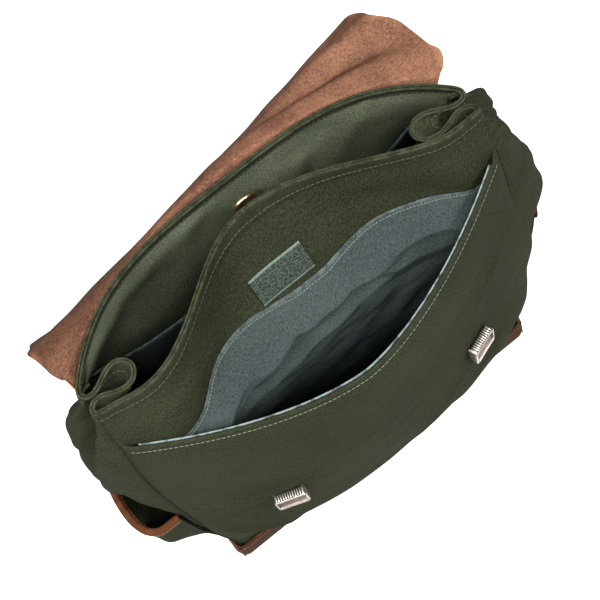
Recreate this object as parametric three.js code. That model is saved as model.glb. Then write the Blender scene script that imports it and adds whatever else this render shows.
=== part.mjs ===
// Laptop backpack in canvas and leather, standing open on its base with the flap thrown back.
// Millimetres. X runs to the right seen from the front, the front faces -Y and Z is up.
// The origin is the middle of the underside.
import * as THREE from 'three';

// Wall thicknesses and the clearance between pieces that are sewn or riveted together
const CANVAS = 1.8;
const LINING = 1.0;
const LEATHER = 2.4;
const CLEARANCE = 0.4;
const SEAM_CLEARANCE = 1.7;

// Heights
const BASE_TOP_Z = 30;
const BASE_FLOOR = 2.6;
const POCKET_RIM_END_Z = 352;
const POCKET_RIM_SAG = 16;
const FACING_EDGE_Z = 340;
const POCKET_LINING_BOTTOM_Z = 66;
const SIDE_POCKET_TOP_Z = 170;
const SIDE_POCKET_BOTTOM_Z = 33;

// The bag's horizontal sections, from the rim down. seamX is half the width between the side seams,
// frontY and backY are where those seams lie. The bows say how far the middle of a wall stands off
// its seams, dividerDip how far the divider comes forward beside its bow, crown how flat that bow is
// and pocketPower how square the pocket's bulge is. The bulges are the open gussets' own, rimFold is
// the gussets' share of the fold at the rim, and lobes their share of the two lobes below it.
const SECTIONS = [
  { z: 400, seamX: 150, frontY: -13, backY: 6, backBow: 49, dividerBow: 50, dividerDip: 5,
    crown: 1.0, pocketBow: 52, pocketPower: 1.6, bulgeLeft: 12, bulgeRight: 12, rimFold: 1, lobes: 0 },
  { z: 370, seamX: 152, frontY: -19, backY: 12, backBow: 46, dividerBow: 41, dividerDip: 9,
    crown: 1.4, pocketBow: 53, pocketPower: 1.6, bulgeLeft: 28, bulgeRight: 26, rimFold: 0.4, lobes: 0.6 },
  { z: 340, seamX: 154, frontY: -26, backY: 21, backBow: 40, dividerBow: 32, dividerDip: 13,
    crown: 1.8, pocketBow: 54, pocketPower: 1.6, bulgeLeft: 38, bulgeRight: 34, rimFold: 0.06, lobes: 0.88 },
  { z: 300, seamX: 157, frontY: -31, backY: 34, backBow: 30, dividerBow: 16, dividerDip: 8,
    crown: 1.8, pocketBow: 57, pocketPower: 1.6, bulgeLeft: 33, bulgeRight: 28, rimFold: 0, lobes: 0.5 },
  { z: 250, seamX: 158, frontY: -37, backY: 46, backBow: 20, dividerBow: 10, dividerDip: 4,
    crown: 1.8, pocketBow: 56, pocketPower: 1.6, bulgeLeft: 31, bulgeRight: 44, rimFold: 0, lobes: 0.14 },
  { z: 180, seamX: 156, frontY: -45, backY: 55, backBow: 12, dividerBow: 8, dividerDip: 0,
    crown: 1.8, pocketBow: 51, pocketPower: 1.7, bulgeLeft: 25, bulgeRight: 27, rimFold: 0, lobes: 0 },
  { z: 100, seamX: 152, frontY: -53, backY: 60, backBow: 6, dividerBow: 5, dividerDip: 0,
    crown: 1.8, pocketBow: 37, pocketPower: 3.0, bulgeLeft: 12, bulgeRight: 16, rimFold: 0, lobes: 0 },
  { z: 31, seamX: 146, frontY: -57.5, backY: 62, backBow: 0, dividerBow: 0, dividerDip: 0,
    crown: 1.8, pocketBow: 0, pocketPower: 3.0, bulgeLeft: 0, bulgeRight: 0, rimFold: 0, lobes: 0 },
  { z: 0, seamX: 147, frontY: -59.5, backY: 60, backBow: 0, dividerBow: 0, dividerDip: 0,
    crown: 1.8, pocketBow: 0, pocketPower: 3.0, bulgeLeft: 0, bulgeRight: 0, rimFold: 0, lobes: 0 },
];
// Heights of the rows of facets in the cloth walls
const WALL_HEIGHTS = [5, 31, 55, 85, 130, 180, 225, 265, 300, 325, 350, 375, 400];
const BACK_POWER = 3.5;
const POCKET_STEP = 2.4;
const DIVIDER_EDGE = 35;
const DIVIDER_HALF_LEFT = 115;
const DIVIDER_HALF_RIGHT = 155;
const POCKET_LAYERS = 5;
const POCKET_LAYERS_EDGE = 12;
const LOBE_SPREAD = 22;
const SEAM_END_POWER = 6;

// One half of the gusset's fold at the rim, from the seam to the tip. reach is a share of the fold's
// depth, and spread is the distance from the fold's middle line.
const RIM_FOLD = [
  { reach: 0.0, spread: 9.5 },
  { reach: 0.01, spread: 5.5 },
  { reach: 0.1, spread: 2.4 },
  { reach: 0.27, spread: 2.3 },
  { reach: 0.47, spread: 5.8 },
  { reach: 0.69, spread: 8.6 },
  { reach: 0.89, spread: 7.0 },
  { reach: 1.0, spread: 0.0 },
];
// One half of the lobes below it, where the cloth puffs out beside a crease. out is the distance from
// the seams' plane, and spread is a share of half the gusset's depth.
const LOBES = [
  { out: 0, spread: 1.0 },
  { out: 11, spread: 0.97 },
  { out: 17, spread: 0.8 },
  { out: 15, spread: 0.55 },
  { out: 5, spread: 0.28 },
  { out: -7, spread: 0.1 },
  { out: -12, spread: 0.0 },
];
// The two sides differ a little, as soft cloth does: the fold's depth, its lean to the back and how soon
// it opens below the rim, the share and size of the lobes and of the crease between them, the gusset's
// bulge and how far that sits to the front, the side pocket's front edge, its gape and how far that sits
// forward.
const SIDES = [
  { name: 'left', sign: -1, foldReach: 36.5, foldShift: 2, unfold: 1, lobes: 1, backLobe: 1, frontLobe: 1,
    crease: 1, bulge: 'bulgeLeft', skew: 1, pocketEnd: 0.94, gape: 14, gapeSkew: 3 },
  { name: 'right', sign: 1, foldReach: 42, foldShift: 5, unfold: 1.8, lobes: 0.7, backLobe: 1.9,
    frontLobe: 0.6, crease: -0.5, bulge: 'bulgeRight', skew: 1.4, pocketEnd: 0.84, gape: 13,
    gapeSkew: 0.75 },
];

// The flap from its sewn edge to its free end. x, y and z are the middle of a row across it and half
// is half the row's width, twist tilts the row from left to right, bow bends both ends away from the
// middle, and onWall is 1 where it is sewn to the back wall.
const FLAP_LENGTH = 330;
const FLAP_CORNER = 45;
const FLAP_CORNER_SHARE = 0.3;
const FLAP_ROOT_Z = 364;
const FLAP_SEWN = 33;
const FLAP_SPREAD_POWER = 1.25;
const FLAP_BOW_POWER = 1.7;
const FLAP_ROWS = [
  { along: 0, x: -5, half: 144, y: 60, z: 364, twistY: 0, twistZ: 0, bowY: -40, bowZ: 0, onWall: 1 },
  { along: 18, x: -5, half: 144, y: 61, z: 382, twistY: 0, twistZ: 0, bowY: -40, bowZ: 0, onWall: 1 },
  { along: 33, x: -1, half: 151, y: 66, z: 392, twistY: 3, twistZ: 1, bowY: -33, bowZ: 0, onWall: 0.2 },
  { along: 46, x: 3, half: 160, y: 71, z: 388, twistY: 7, twistZ: 2, bowY: -29, bowZ: 3, onWall: 0 },
  { along: 62, x: 0, half: 161, y: 76, z: 375, twistY: 14, twistZ: 5, bowY: -19, bowZ: 8, onWall: 0 },
  { along: 80, x: -9, half: 154, y: 81, z: 358, twistY: 20, twistZ: 13, bowY: -12, bowZ: 17, onWall: 0 },
  { along: 100, x: -15, half: 147, y: 86, z: 338, twistY: 22, twistZ: 16, bowY: -7, bowZ: 22, onWall: 0 },
  { along: 130, x: -16, half: 145, y: 92, z: 308, twistY: 18, twistZ: 16, bowY: -4, bowZ: 22, onWall: 0 },
  { along: 200, x: -16, half: 147, y: 96, z: 238, twistY: 11, twistZ: 16, bowY: -3, bowZ: 22, onWall: 0 },
  { along: 330, x: -18, half: 150, y: 95, z: 108, twistY: 7, twistZ: 16, bowY: -3, bowZ: 22, onWall: 0 },
];
const TAB = { place: 0.58, share: 0.2, length: 90, past: 50, thickness: 2.4 };

// Hook-and-loop patch and magnetic snap
const PATCH = { x: -5, width: 42, bottomZ: 342, topZ: 362, thickness: 2 };
const SNAP = { x: 8, socketZ: 336, studZ: 352, radius: 9, studRadius: 7, studSeat: 0.8, height: 4 };

// The front pocket's lining, whose width is a share of the wall's, and the laptop sleeve inside
const POCKET_LINING = { across: 0.82, standoff: 5.2, apart: 1.0, seamRise: 30 };
const SLEEVE = { half: 141, topZ: 310, bottomZ: 3.2, topY: 31, bottomY: 40, sag: 3,
  standoff: 3, joinPower: 8 };

// Leather base
const BASE = { edge: 2.5, footRadius: 6, radius: 8, innerRadius: 2 };

// Side pockets
const SIDE_POCKET_START = 0.06;
const SIDE_POCKET_STANDOFF = 4.6;
const GAPE_POWER = 1.2;
const BINDING = { wall: 1.4, drop: 7.5 };

// Tuck locks on the front pocket
const LOCK = { x: 87, z: 184, width: 24, height: 21, depth: 7.5, floor: 1, side: 1.3, top: 1.4, bar: 5,
  standoff: 0.8, corner: 1.5, chamfer: 0.8, windowCorner: 0.4 };
const LEVER = { thickness: 1.4, ribs: 11, ribHeight: 0.5, play: 0.35, sunk: 17,
  axisInset: 1.2, axisDrop: 1.4 };

// Shoulder straps
const STRAP = { width: 38, thickness: 4, topX: 48, bottomX: 112, topZ: 344, bottomZ: 48,
  bow: 9, bowPower: 0.8 };

// How many facets each surface has across and along
const FACETS = {
  back: 18, divider: 24, frontPocket: 20, gusset: 26,
  lining: [15, 8], sleeve: [14, 5], patch: [4, 3], sidePocket: [14, 6], flap: [18, 20], tab: [3, 6],
  strap: 16, snap: 20, baseCorner: 4, lockCorner: 2,
};

const canvas = new THREE.MeshStandardMaterial({ color: 0x4f5742, roughness: 0.95, metalness: 0 });
const lining = new THREE.MeshStandardMaterial({ color: 0x6a7577, roughness: 0.85, metalness: 0 });
const leather = new THREE.MeshStandardMaterial({ color: 0x7a4f38, roughness: 0.6, metalness: 0 });
const flesh = new THREE.MeshStandardMaterial({ color: 0x9a6a52, roughness: 0.85, metalness: 0 });
const hookTape = new THREE.MeshStandardMaterial({ color: 0x55685c, roughness: 1, metalness: 0 });
const steel = new THREE.MeshStandardMaterial({ color: 0xc8bab0, roughness: 0.3, metalness: 1 });
const brass = new THREE.MeshStandardMaterial({ color: 0xc9a463, roughness: 0.3, metalness: 1 });

// A smooth curve through the rows of a table, without overshoot
function tableValue(rows, key, column, at) {
  const rising = rows[1][key] > rows[0][key];
  let i = 0;
  while (i < rows.length - 2 && (rising ? at > rows[i + 1][key] : at < rows[i + 1][key])) i++;
  const rise = (k) => (rows[k + 1][column] - rows[k][column]) / (rows[k + 1][key] - rows[k][key]);
  const slope = (k) => {
    if (k === 0) return rise(0);
    if (k === rows.length - 1) return rise(k - 1);
    const before = rise(k - 1);
    const after = rise(k);
    return before * after <= 0 ? 0 : (2 * before * after) / (before + after);
  };
  const span = rows[i + 1][key] - rows[i][key];
  const t = THREE.MathUtils.clamp((at - rows[i][key]) / span, 0, 1);
  const from = rows[i][column] * (1 + 2 * t) + slope(i) * span * t;
  const to = rows[i + 1][column] * (3 - 2 * t) + slope(i + 1) * span * (t - 1);
  return from * (1 - t) ** 2 + to * t ** 2;
}

const sectionCache = new Map();
function sectionAt(z) {
  if (!sectionCache.has(z)) {
    const columns = Object.keys(SECTIONS[0]);
    sectionCache.set(z, Object.fromEntries(columns.map((c) => [c, tableValue(SECTIONS, 'z', c, z)])));
  }
  return sectionCache.get(z);
}

// Walls as surfaces: a point for a place across the bag, -1 to 1 between the seams, and a height
function backWall(across, z) {
  const s = sectionAt(z);
  const y = s.backY + s.backBow * (1 - Math.abs(across) ** BACK_POWER);
  return new THREE.Vector3(s.seamX * across, y, z);
}

function pocketWall(across, z) {
  const s = sectionAt(z);
  const y = s.frontY - POCKET_STEP - s.pocketBow * (1 - Math.abs(across) ** s.pocketPower);
  return new THREE.Vector3(s.seamX * across, y, z);
}

function dividerWall(across, z) {
  const s = sectionAt(z);
  const x = s.seamX * across;
  const half = x < 0 ? DIVIDER_HALF_LEFT : DIVIDER_HALF_RIGHT;
  const bow = (1 + Math.cos(Math.PI * Math.min(1, Math.abs(x) / half) ** s.crown)) / 2;
  const inset = s.seamX - Math.abs(x);
  const away = THREE.MathUtils.smoothstep(inset, 0, DIVIDER_EDGE);
  const free = s.frontY - s.dividerDip * away + s.dividerBow * bow;
  const layers = THREE.MathUtils.lerp(POCKET_STEP, POCKET_LAYERS, Math.min(1, inset / POCKET_LAYERS_EDGE));
  const behindPocket = pocketWall(across, z).y + layers;
  const y = z > POCKET_RIM_END_Z + POCKET_RIM_SAG ? free : Math.max(free, behindPocket);
  return new THREE.Vector3(x, y, z);
}

function pocketRimZ(across) {
  return POCKET_RIM_END_Z - POCKET_RIM_SAG * (1 - across * across);
}

// A curve through one half's points and their mirror image
function mirroredCurve(half) {
  const mirrored = half.slice(0, -1).map((p) => new THREE.Vector3(p.x, -p.y, 0)).reverse();
  return new THREE.CatmullRomCurve3([...half, ...mirrored]);
}
const lobeCurve = mirroredCurve(LOBES.map((p) => new THREE.Vector3(-p.out, LOBE_SPREAD * p.spread, 0)));
const foldCurves = Object.fromEntries(SIDES.map((side) => {
  const half = RIM_FOLD.map((p) => new THREE.Vector3(p.reach * side.foldReach, p.spread, 0));
  return [side.name, mirroredCurve(half)];
}));

// A gusset's point: around 0 is the back seam and 1 the front seam
function gussetWall(side, around, z) {
  const s = sectionAt(z);
  const half = (s.backY - s.frontY) / 2;
  const rimFold = s.rimFold ** side.unfold;
  const lobes = s.lobes * side.lobes;
  const open = 1 - rimFold - lobes;
  const fold = foldCurves[side.name].getPointAt(around);
  const lobe = lobeCurve.getPointAt(around);
  const seamEnds = Math.sign(0.5 - around) * Math.abs(2 * around - 1) ** SEAM_END_POWER;
  const foldY = fold.y + side.foldShift * fold.x / side.foldReach + (half - RIM_FOLD[0].spread) * seamEnds;
  const bulge = s[side.bulge] * Math.sin(Math.PI * around ** side.skew);
  const puff = around < 0.5 ? side.backLobe : side.frontLobe;
  const lobeSize = lobe.x < 0 ? puff : side.crease;
  const inward = rimFold * fold.x + lobes * lobeSize * lobe.x - open * bulge;
  const off = rimFold * foldY + lobes * half * lobe.y / LOBE_SPREAD + open * half * (1 - 2 * around);
  return new THREE.Vector3(side.sign * (s.seamX - inward), (s.backY + s.frontY) / 2 + off, z);
}

// A surface's unit normal, and the same surface moved along it
const STEP = 1e-3;
function normalAt(surface, u, v) {
  const u0 = Math.max(0, u - STEP);
  const u1 = Math.min(1, u + STEP);
  const v0 = Math.max(0, v - STEP);
  const v1 = Math.min(1, v + STEP);
  const du = surface(u1, v).sub(surface(u0, v));
  const dv = surface(u, v1).sub(surface(u, v0));
  return du.cross(dv).normalize();
}

function offset(surface, distance) {
  return (u, v) => surface(u, v).addScaledVector(normalAt(surface, u, v), distance);
}

// A closed geometry from its corners and its faces, turned so that the faces point out
function solid(points, faces) {
  const cone = ([a, b, c]) => points[a].dot(points[b].clone().cross(points[c]));
  const volume = faces.reduce((sum, face) => sum + cone(face), 0);
  const outward = volume > 0 ? faces : faces.map(([a, b, c]) => [a, c, b]);
  const geometry = new THREE.BufferGeometry();
  const corners = points.flatMap((p) => p.toArray());
  geometry.setAttribute('position', new THREE.Float32BufferAttribute(corners, 3));
  geometry.setIndex(outward.flat());
  geometry.computeVertexNormals();
  return geometry;
}

function quad(a, b, c, d) {
  return [[a, b, c], [a, c, d]];
}

// A wall of even thickness on both sides of a surface
function sheet(surface, [columns, rows], thickness) {
  const points = [];
  const faces = [];
  const layer = (columns + 1) * (rows + 1);
  for (const side of [0.5, -0.5]) {
    const face = offset(surface, side * thickness);
    for (let j = 0; j <= rows; j++) {
      for (let i = 0; i <= columns; i++) points.push(face(i / columns, j / rows));
    }
  }
  const at = (i, j) => j * (columns + 1) + i;
  for (let j = 0; j < rows; j++) {
    for (let i = 0; i < columns; i++) {
      const [a, b, c, d] = [at(i, j), at(i + 1, j), at(i + 1, j + 1), at(i, j + 1)];
      faces.push(...quad(a, b, c, d));
      faces.push(...quad(a + layer, d + layer, c + layer, b + layer));
    }
  }
  const border = [];
  for (let i = 0; i < columns; i++) border.push(at(i, 0));
  for (let j = 0; j < rows; j++) border.push(at(columns, j));
  for (let i = columns; i > 0; i--) border.push(at(i, rows));
  for (let j = rows; j > 0; j--) border.push(at(0, j));
  border.forEach((a, k) => {
    const b = border[(k + 1) % border.length];
    faces.push(...quad(b, a, a + layer, b + layer));
  });
  return solid(points, faces);
}

// A section of [sideways, outward] corners, anticlockwise, swept through frames
function sweep(section, frames) {
  const points = [];
  const faces = [];
  const n = section.length;
  for (const f of frames) {
    for (const [a, b] of section) {
      points.push(f.origin.clone().addScaledVector(f.sideways, a).addScaledVector(f.outward, b));
    }
  }
  for (let k = 0; k < frames.length - 1; k++) {
    for (let i = 0; i < n; i++) {
      const j = (i + 1) % n;
      faces.push(...quad(k * n + i, k * n + j, (k + 1) * n + j, (k + 1) * n + i));
    }
  }
  const cap = THREE.ShapeUtils.triangulateShape(section.map(([a, b]) => new THREE.Vector2(a, b)), []);
  const last = (frames.length - 1) * n;
  for (const [a, b, c] of cap) faces.push([c, b, a], [a + last, b + last, c + last]);
  return solid(points, faces);
}

// An open tray: rings of equal length from the outer underside up, over the rim and down to the floor
function tray(rings) {
  const points = rings.flat();
  const faces = [];
  const n = rings[0].length;
  for (let k = 0; k < rings.length - 1; k++) {
    for (let i = 0; i < n; i++) {
      const j = (i + 1) % n;
      faces.push(...quad(k * n + i, k * n + j, (k + 1) * n + j, (k + 1) * n + i));
    }
  }
  const last = (rings.length - 1) * n;
  for (let i = 1; i < n - 1; i++) faces.push([0, i + 1, i], [last, last + i, last + i + 1]);
  return solid(points, faces);
}

function roundedRectangle(x0, x1, y0, y1, radius, z, cornerSteps) {
  const ring = [];
  const centres = [[x1 - radius, y0 + radius], [x1 - radius, y1 - radius],
    [x0 + radius, y1 - radius], [x0 + radius, y0 + radius]];
  centres.forEach(([cx, cy], corner) => {
    for (let k = 0; k <= cornerSteps; k++) {
      const angle = (corner - 1 + k / cornerSteps) * Math.PI / 2;
      ring.push(new THREE.Vector3(cx + radius * Math.cos(angle), cy + radius * Math.sin(angle), z));
    }
  });
  return ring;
}

const bag = new THREE.Group();
function add(name, geometry, material, parent = bag) {
  const mesh = new THREE.Mesh(geometry, material);
  mesh.name = name;
  parent.add(mesh);
  return mesh;
}

// Canvas walls, each from the base up to its rim
const lerp = THREE.MathUtils.lerp;
const CLOTH_BOTTOM_Z = WALL_HEIGHTS[0];
const WALL_ROWS = WALL_HEIGHTS.length - 1;
const POCKET_ROWS = WALL_HEIGHTS.findIndex((z) => z > POCKET_RIM_END_Z) - 1;
function wallHeight(v, rows = WALL_ROWS) {
  const k = Math.min(Math.floor(v * rows), rows - 1);
  return lerp(WALL_HEIGHTS[k], WALL_HEIGHTS[k + 1], v * rows - k);
}
const backSheet = (u, v) => backWall(2 * u - 1, wallHeight(v));
const dividerSheet = (u, v) => dividerWall(2 * u - 1, wallHeight(v));
function pocketSheet(u, v) {
  const across = 2 * u - 1;
  const stretch = (pocketRimZ(across) - CLOTH_BOTTOM_Z) / (WALL_HEIGHTS[POCKET_ROWS] - CLOTH_BOTTOM_Z);
  return pocketWall(across, CLOTH_BOTTOM_Z + (wallHeight(v, POCKET_ROWS) - CLOTH_BOTTOM_Z) * stretch);
}
add('back_panel', sheet(backSheet, [FACETS.back, WALL_ROWS], CANVAS), canvas);
add('divider_panel', sheet(dividerSheet, [FACETS.divider, WALL_ROWS], CANVAS), canvas);
add('front_pocket_panel', sheet(pocketSheet, [FACETS.frontPocket, POCKET_ROWS], CANVAS), canvas);

for (const side of SIDES) {
  const trim = SEAM_CLEARANCE / foldCurves[side.name].getLength();
  const surface = (u, v) => gussetWall(side, lerp(trim, 1 - trim, u), wallHeight(v));
  add(`${side.name}_gusset`, sheet(surface, [FACETS.gusset, WALL_ROWS], CANVAS), canvas);
}

// The front pocket's lining: one sheet down the divider from the facing's edge and one down the pocket
// from its rim, sewn together at the bottom
function liningSheet(top, facing) {
  const { standoff, apart, seamRise } = POCKET_LINING;
  return (u, v) => {
    const across = POCKET_LINING.across * (2 * u - 1);
    const z = lerp(POCKET_LINING_BOTTOM_Z, top(across), v);
    const wall = facing > 0 ? dividerWall(across, z).y : pocketWall(across, z).y;
    const middle = (dividerWall(across, z).y + pocketWall(across, z).y) / 2;
    const free = facing * Math.max(facing * (wall - middle) - standoff, apart);
    const rise = THREE.MathUtils.smoothstep(z - POCKET_LINING_BOTTOM_Z, 0, seamRise);
    return new THREE.Vector3(sectionAt(z).seamX * across, middle + lerp(facing * apart, free, rise), z);
  };
}
add('pocket_lining_back', sheet(liningSheet(() => FACING_EDGE_Z, 1), FACETS.lining, LINING), lining);
add('pocket_lining_front', sheet(liningSheet(pocketRimZ, -1), FACETS.lining, LINING), lining);

// The laptop sleeve: a straight cloth wall in front of the bowed back wall, joined to it at its sides
function sleeveSheet(u, v) {
  const across = 2 * u - 1;
  const z = lerp(SLEEVE.bottomZ, SLEEVE.topZ - SLEEVE.sag * (1 - across * across), v);
  const x = SLEEVE.half * across;
  const free = lerp(SLEEVE.bottomY, SLEEVE.topY, v);
  const sewn = backWall(x / sectionAt(z).seamX, z).y - SLEEVE.standoff;
  return new THREE.Vector3(x, lerp(free, Math.max(free, sewn), across ** SLEEVE.joinPower), z);
}
add('laptop_sleeve', sheet(sleeveSheet, FACETS.sleeve, LINING), lining);

// Hook-and-loop patch on the divider's front, and the snap's two halves facing each other behind it
function patchSurface(u, v) {
  const z = lerp(PATCH.bottomZ, PATCH.topZ, v);
  return dividerWall((PATCH.x + (u - 0.5) * PATCH.width) / sectionAt(z).seamX, z);
}
const patchStandoff = (CANVAS + PATCH.thickness) / 2 + CLEARANCE;
const patchFace = offset(patchSurface, patchStandoff);
add('hook_and_loop_patch', sheet(patchFace, FACETS.patch, PATCH.thickness), hookTape);

function seatOn(mesh, surface, u, v, standoff) {
  const normal = normalAt(surface, u, v);
  mesh.position.copy(surface(u, v)).addScaledVector(normal, standoff);
  mesh.quaternion.setFromUnitVectors(new THREE.Vector3(0, 1, 0), normal);
}
function heightShare(z, rows = WALL_ROWS) {
  const k = WALL_HEIGHTS.findIndex((h) => h > z) - 1;
  return (k + (z - WALL_HEIGHTS[k]) / (WALL_HEIGHTS[k + 1] - WALL_HEIGHTS[k])) / rows;
}
const snapShare = (z) => (1 + SNAP.x / sectionAt(z).seamX) / 2;
const snapStandoff = CANVAS / 2 + CLEARANCE + SNAP.height / 2;
function snapDisc(faceRadius) {
  return new THREE.CylinderGeometry(faceRadius, SNAP.radius, SNAP.height, FACETS.snap);
}
const socket = add('snap_socket', snapDisc(SNAP.radius), brass);
seatOn(socket, backSheet, snapShare(SNAP.socketZ), heightShare(SNAP.socketZ), snapStandoff);
const stud = add('snap_stud', snapDisc(SNAP.studRadius), brass);
seatOn(stud, dividerSheet, snapShare(SNAP.studZ), heightShare(SNAP.studZ), -snapStandoff - SNAP.studSeat);
stud.rotateX(Math.PI);

// Leather base: a boot round the cloth's foot, a little wider at its top
function baseRing(z, out, radius) {
  const s = sectionAt(z);
  const front = s.frontY - POCKET_STEP;
  const x = s.seamX + out;
  return roundedRectangle(-x, x, front - out, s.backY + out, radius, z, FACETS.baseCorner);
}
const inner = CANVAS / 2 + CLEARANCE;
const outer = inner + LEATHER;
add('base', tray([
  baseRing(0, outer - BASE.edge, BASE.footRadius),
  baseRing(BASE.edge, outer, BASE.radius),
  baseRing(BASE_TOP_Z, outer, BASE.radius),
  baseRing(BASE_TOP_Z, inner, BASE.innerRadius),
  baseRing(BASE_FLOOR, inner, BASE.innerRadius),
]), leather);

// Side pockets, standing open at their bound mouths
for (const side of SIDES) {
  const pocket = (u, v) => {
    const around = lerp(SIDE_POCKET_START, side.pocketEnd, u);
    const z = lerp(SIDE_POCKET_BOTTOM_Z, SIDE_POCKET_TOP_Z, v);
    const gusset = (a, b) => gussetWall(side, a, wallHeight(b));
    const outward = normalAt(gusset, around, heightShare(z)).multiplyScalar(-side.sign);
    const standoff = lerp(CANVAS + 2 * CLEARANCE, SIDE_POCKET_STANDOFF, v);
    const gape = side.gape * v ** GAPE_POWER * Math.sin(Math.PI * u ** side.gapeSkew);
    return gussetWall(side, around, z).addScaledVector(outward.setZ(0).normalize(), standoff + gape);
  };
  add(`${side.name}_side_pocket`, sheet(pocket, FACETS.sidePocket, CANVAS), canvas);

  const bindingInner = CANVAS / 2 + 1.5 * CLEARANCE;
  const bindingOuter = bindingInner + BINDING.wall;
  const bindingTop = CLEARANCE + BINDING.wall;
  const section = [
    [-bindingOuter, -BINDING.drop], [-bindingInner, -BINDING.drop],
    [-bindingInner, CLEARANCE], [bindingInner, CLEARANCE],
    [bindingInner, -BINDING.drop], [bindingOuter, -BINDING.drop],
    [bindingOuter, bindingTop], [-bindingOuter, bindingTop],
  ];
  const frames = [];
  for (let k = 0; k <= FACETS.sidePocket[0]; k++) {
    const u = k / FACETS.sidePocket[0];
    const rise = pocket(u, 1).sub(pocket(u, 1 - STEP)).normalize();
    frames.push({ origin: pocket(u, 1), sideways: normalAt(pocket, u, 1), outward: rise });
  }
  add(`${side.name}_side_binding`, sweep(section, frames), leather);
}

// Flap and its two closing tabs, which hang on the flap's inner side
const FLAP_STANDOFF = (CANVAS + LEATHER) / 2 + 2 * CLEARANCE;
function flapPoint(across, along) {
  const row = (column) => tableValue(FLAP_ROWS, 'along', column, along);
  const bow = Math.abs(across) ** FLAP_BOW_POWER;
  const x = row('x') + row('half') * across;
  const y = row('y') + row('twistY') * across + row('bowY') * bow;
  const z = row('z') + row('twistZ') * across + row('bowZ') * bow;
  const sewnZ = FLAP_ROOT_Z + Math.min(along, FLAP_SEWN);
  const place = THREE.MathUtils.clamp(x / sectionAt(sewnZ).seamX, -1, 1);
  const sewn = offset(backSheet, -FLAP_STANDOFF)((1 + place) / 2, heightShare(sewnZ));
  sewn.x += x - place * sectionAt(sewnZ).seamX;
  return new THREE.Vector3(x, y, z).lerp(sewn, row('onWall'));
}
// The flap's length at a place across it, shorter towards its rounded corners
function flapEnd(across) {
  const past = Math.max(0, Math.abs(across) - 1 + FLAP_CORNER_SHARE) / FLAP_CORNER_SHARE;
  return FLAP_LENGTH - FLAP_CORNER * (1 - Math.sqrt(1 - past * past));
}
const flapSheet = (u, v) => flapPoint(2 * u - 1, flapEnd(2 * u - 1) * v ** FLAP_SPREAD_POWER);
add('flap', sheet(flapSheet, FACETS.flap, LEATHER), flesh);

for (const side of SIDES) {
  const tab = (u, v) => {
    const along = FLAP_LENGTH + TAB.past - TAB.length * v;
    const hold = Math.min(along, FLAP_LENGTH);
    const p = flapPoint(side.sign * TAB.place + (u - 0.5) * TAB.share, hold);
    const behind = (LEATHER + TAB.thickness) / 2 + 2 * CLEARANCE;
    return p.add(new THREE.Vector3(0, -behind, hold - along));
  };
  add(`${side.name}_flap_tab`, sheet(tab, FACETS.tab, TAB.thickness), leather);
}

// Tuck locks: a shallow frame riveted to the pocket, with a ribbed lever hung at its top edge
const windowX = LOCK.width / 2 - LOCK.side;
const windowTop = LOCK.height / 2 - LOCK.top;
const windowBottom = -LOCK.height / 2 + LOCK.bar;
function frameRing(z, inset) {
  const x = LOCK.width / 2 - inset;
  const y = LOCK.height / 2 - inset;
  return roundedRectangle(-x, x, -y, y, LOCK.corner - inset, z, FACETS.lockCorner);
}
function windowRing(z) {
  const radius = LOCK.windowCorner;
  return roundedRectangle(-windowX, windowX, windowBottom, windowTop, radius, z, FACETS.lockCorner);
}
const lockFrame = () => tray([
  frameRing(0, 0),
  frameRing(LOCK.depth - LOCK.chamfer, 0),
  frameRing(LOCK.depth, LOCK.chamfer),
  windowRing(LOCK.depth),
  windowRing(LOCK.floor),
]);

const leverAxis = new THREE.Vector3(0, windowTop - LEVER.axisInset, LOCK.depth - LEVER.axisDrop);
const leverHalf = windowX - LEVER.play;
const leverDrop = leverAxis.y - windowBottom - LEVER.play;
function leverGeometry() {
  const pitch = 2 * leverHalf / (2 * LEVER.ribs + 1);
  const face = LEVER.thickness / 2;
  const outline = [new THREE.Vector2(-leverHalf, -face), new THREE.Vector2(leverHalf, -face)];
  for (let k = 0; k <= 2 * LEVER.ribs; k++) {
    const height = k % 2 ? face + LEVER.ribHeight : face;
    outline.push(new THREE.Vector2(leverHalf - k * pitch, height));
    outline.push(new THREE.Vector2(leverHalf - (k + 1) * pitch, height));
  }
  const length = leverDrop + LEVER.axisInset - LEVER.play;
  const extrusion = { depth: length, bevelEnabled: false };
  const geometry = new THREE.ExtrudeGeometry(new THREE.Shape(outline), extrusion);
  geometry.rotateX(Math.PI / 2);
  return geometry.translate(0, LEVER.axisInset - LEVER.play, 0);
}

for (const side of SIDES) {
  const across = (1 + side.sign * LOCK.x / sectionAt(LOCK.z).seamX) / 2;
  const rise = heightShare(LOCK.z, POCKET_ROWS);
  const normal = normalAt(pocketSheet, across, rise);
  const up = pocketSheet(across, rise + STEP).sub(pocketSheet(across, rise - STEP)).normalize();
  const right = up.clone().cross(normal).normalize();
  const lock = new THREE.Group();
  lock.setRotationFromMatrix(new THREE.Matrix4().makeBasis(right, normal.clone().cross(right), normal));
  lock.position.copy(pocketSheet(across, rise)).addScaledVector(normal, CANVAS / 2 + LOCK.standoff);
  bag.add(lock);
  add(`${side.name}_lock_frame`, lockFrame(), steel, lock);
  const lever = add(`${side.name}_lock_lever`, leverGeometry(), steel, lock);
  lever.position.copy(leverAxis);
  lever.rotation.x = THREE.MathUtils.degToRad(LEVER.sunk);
}

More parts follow.
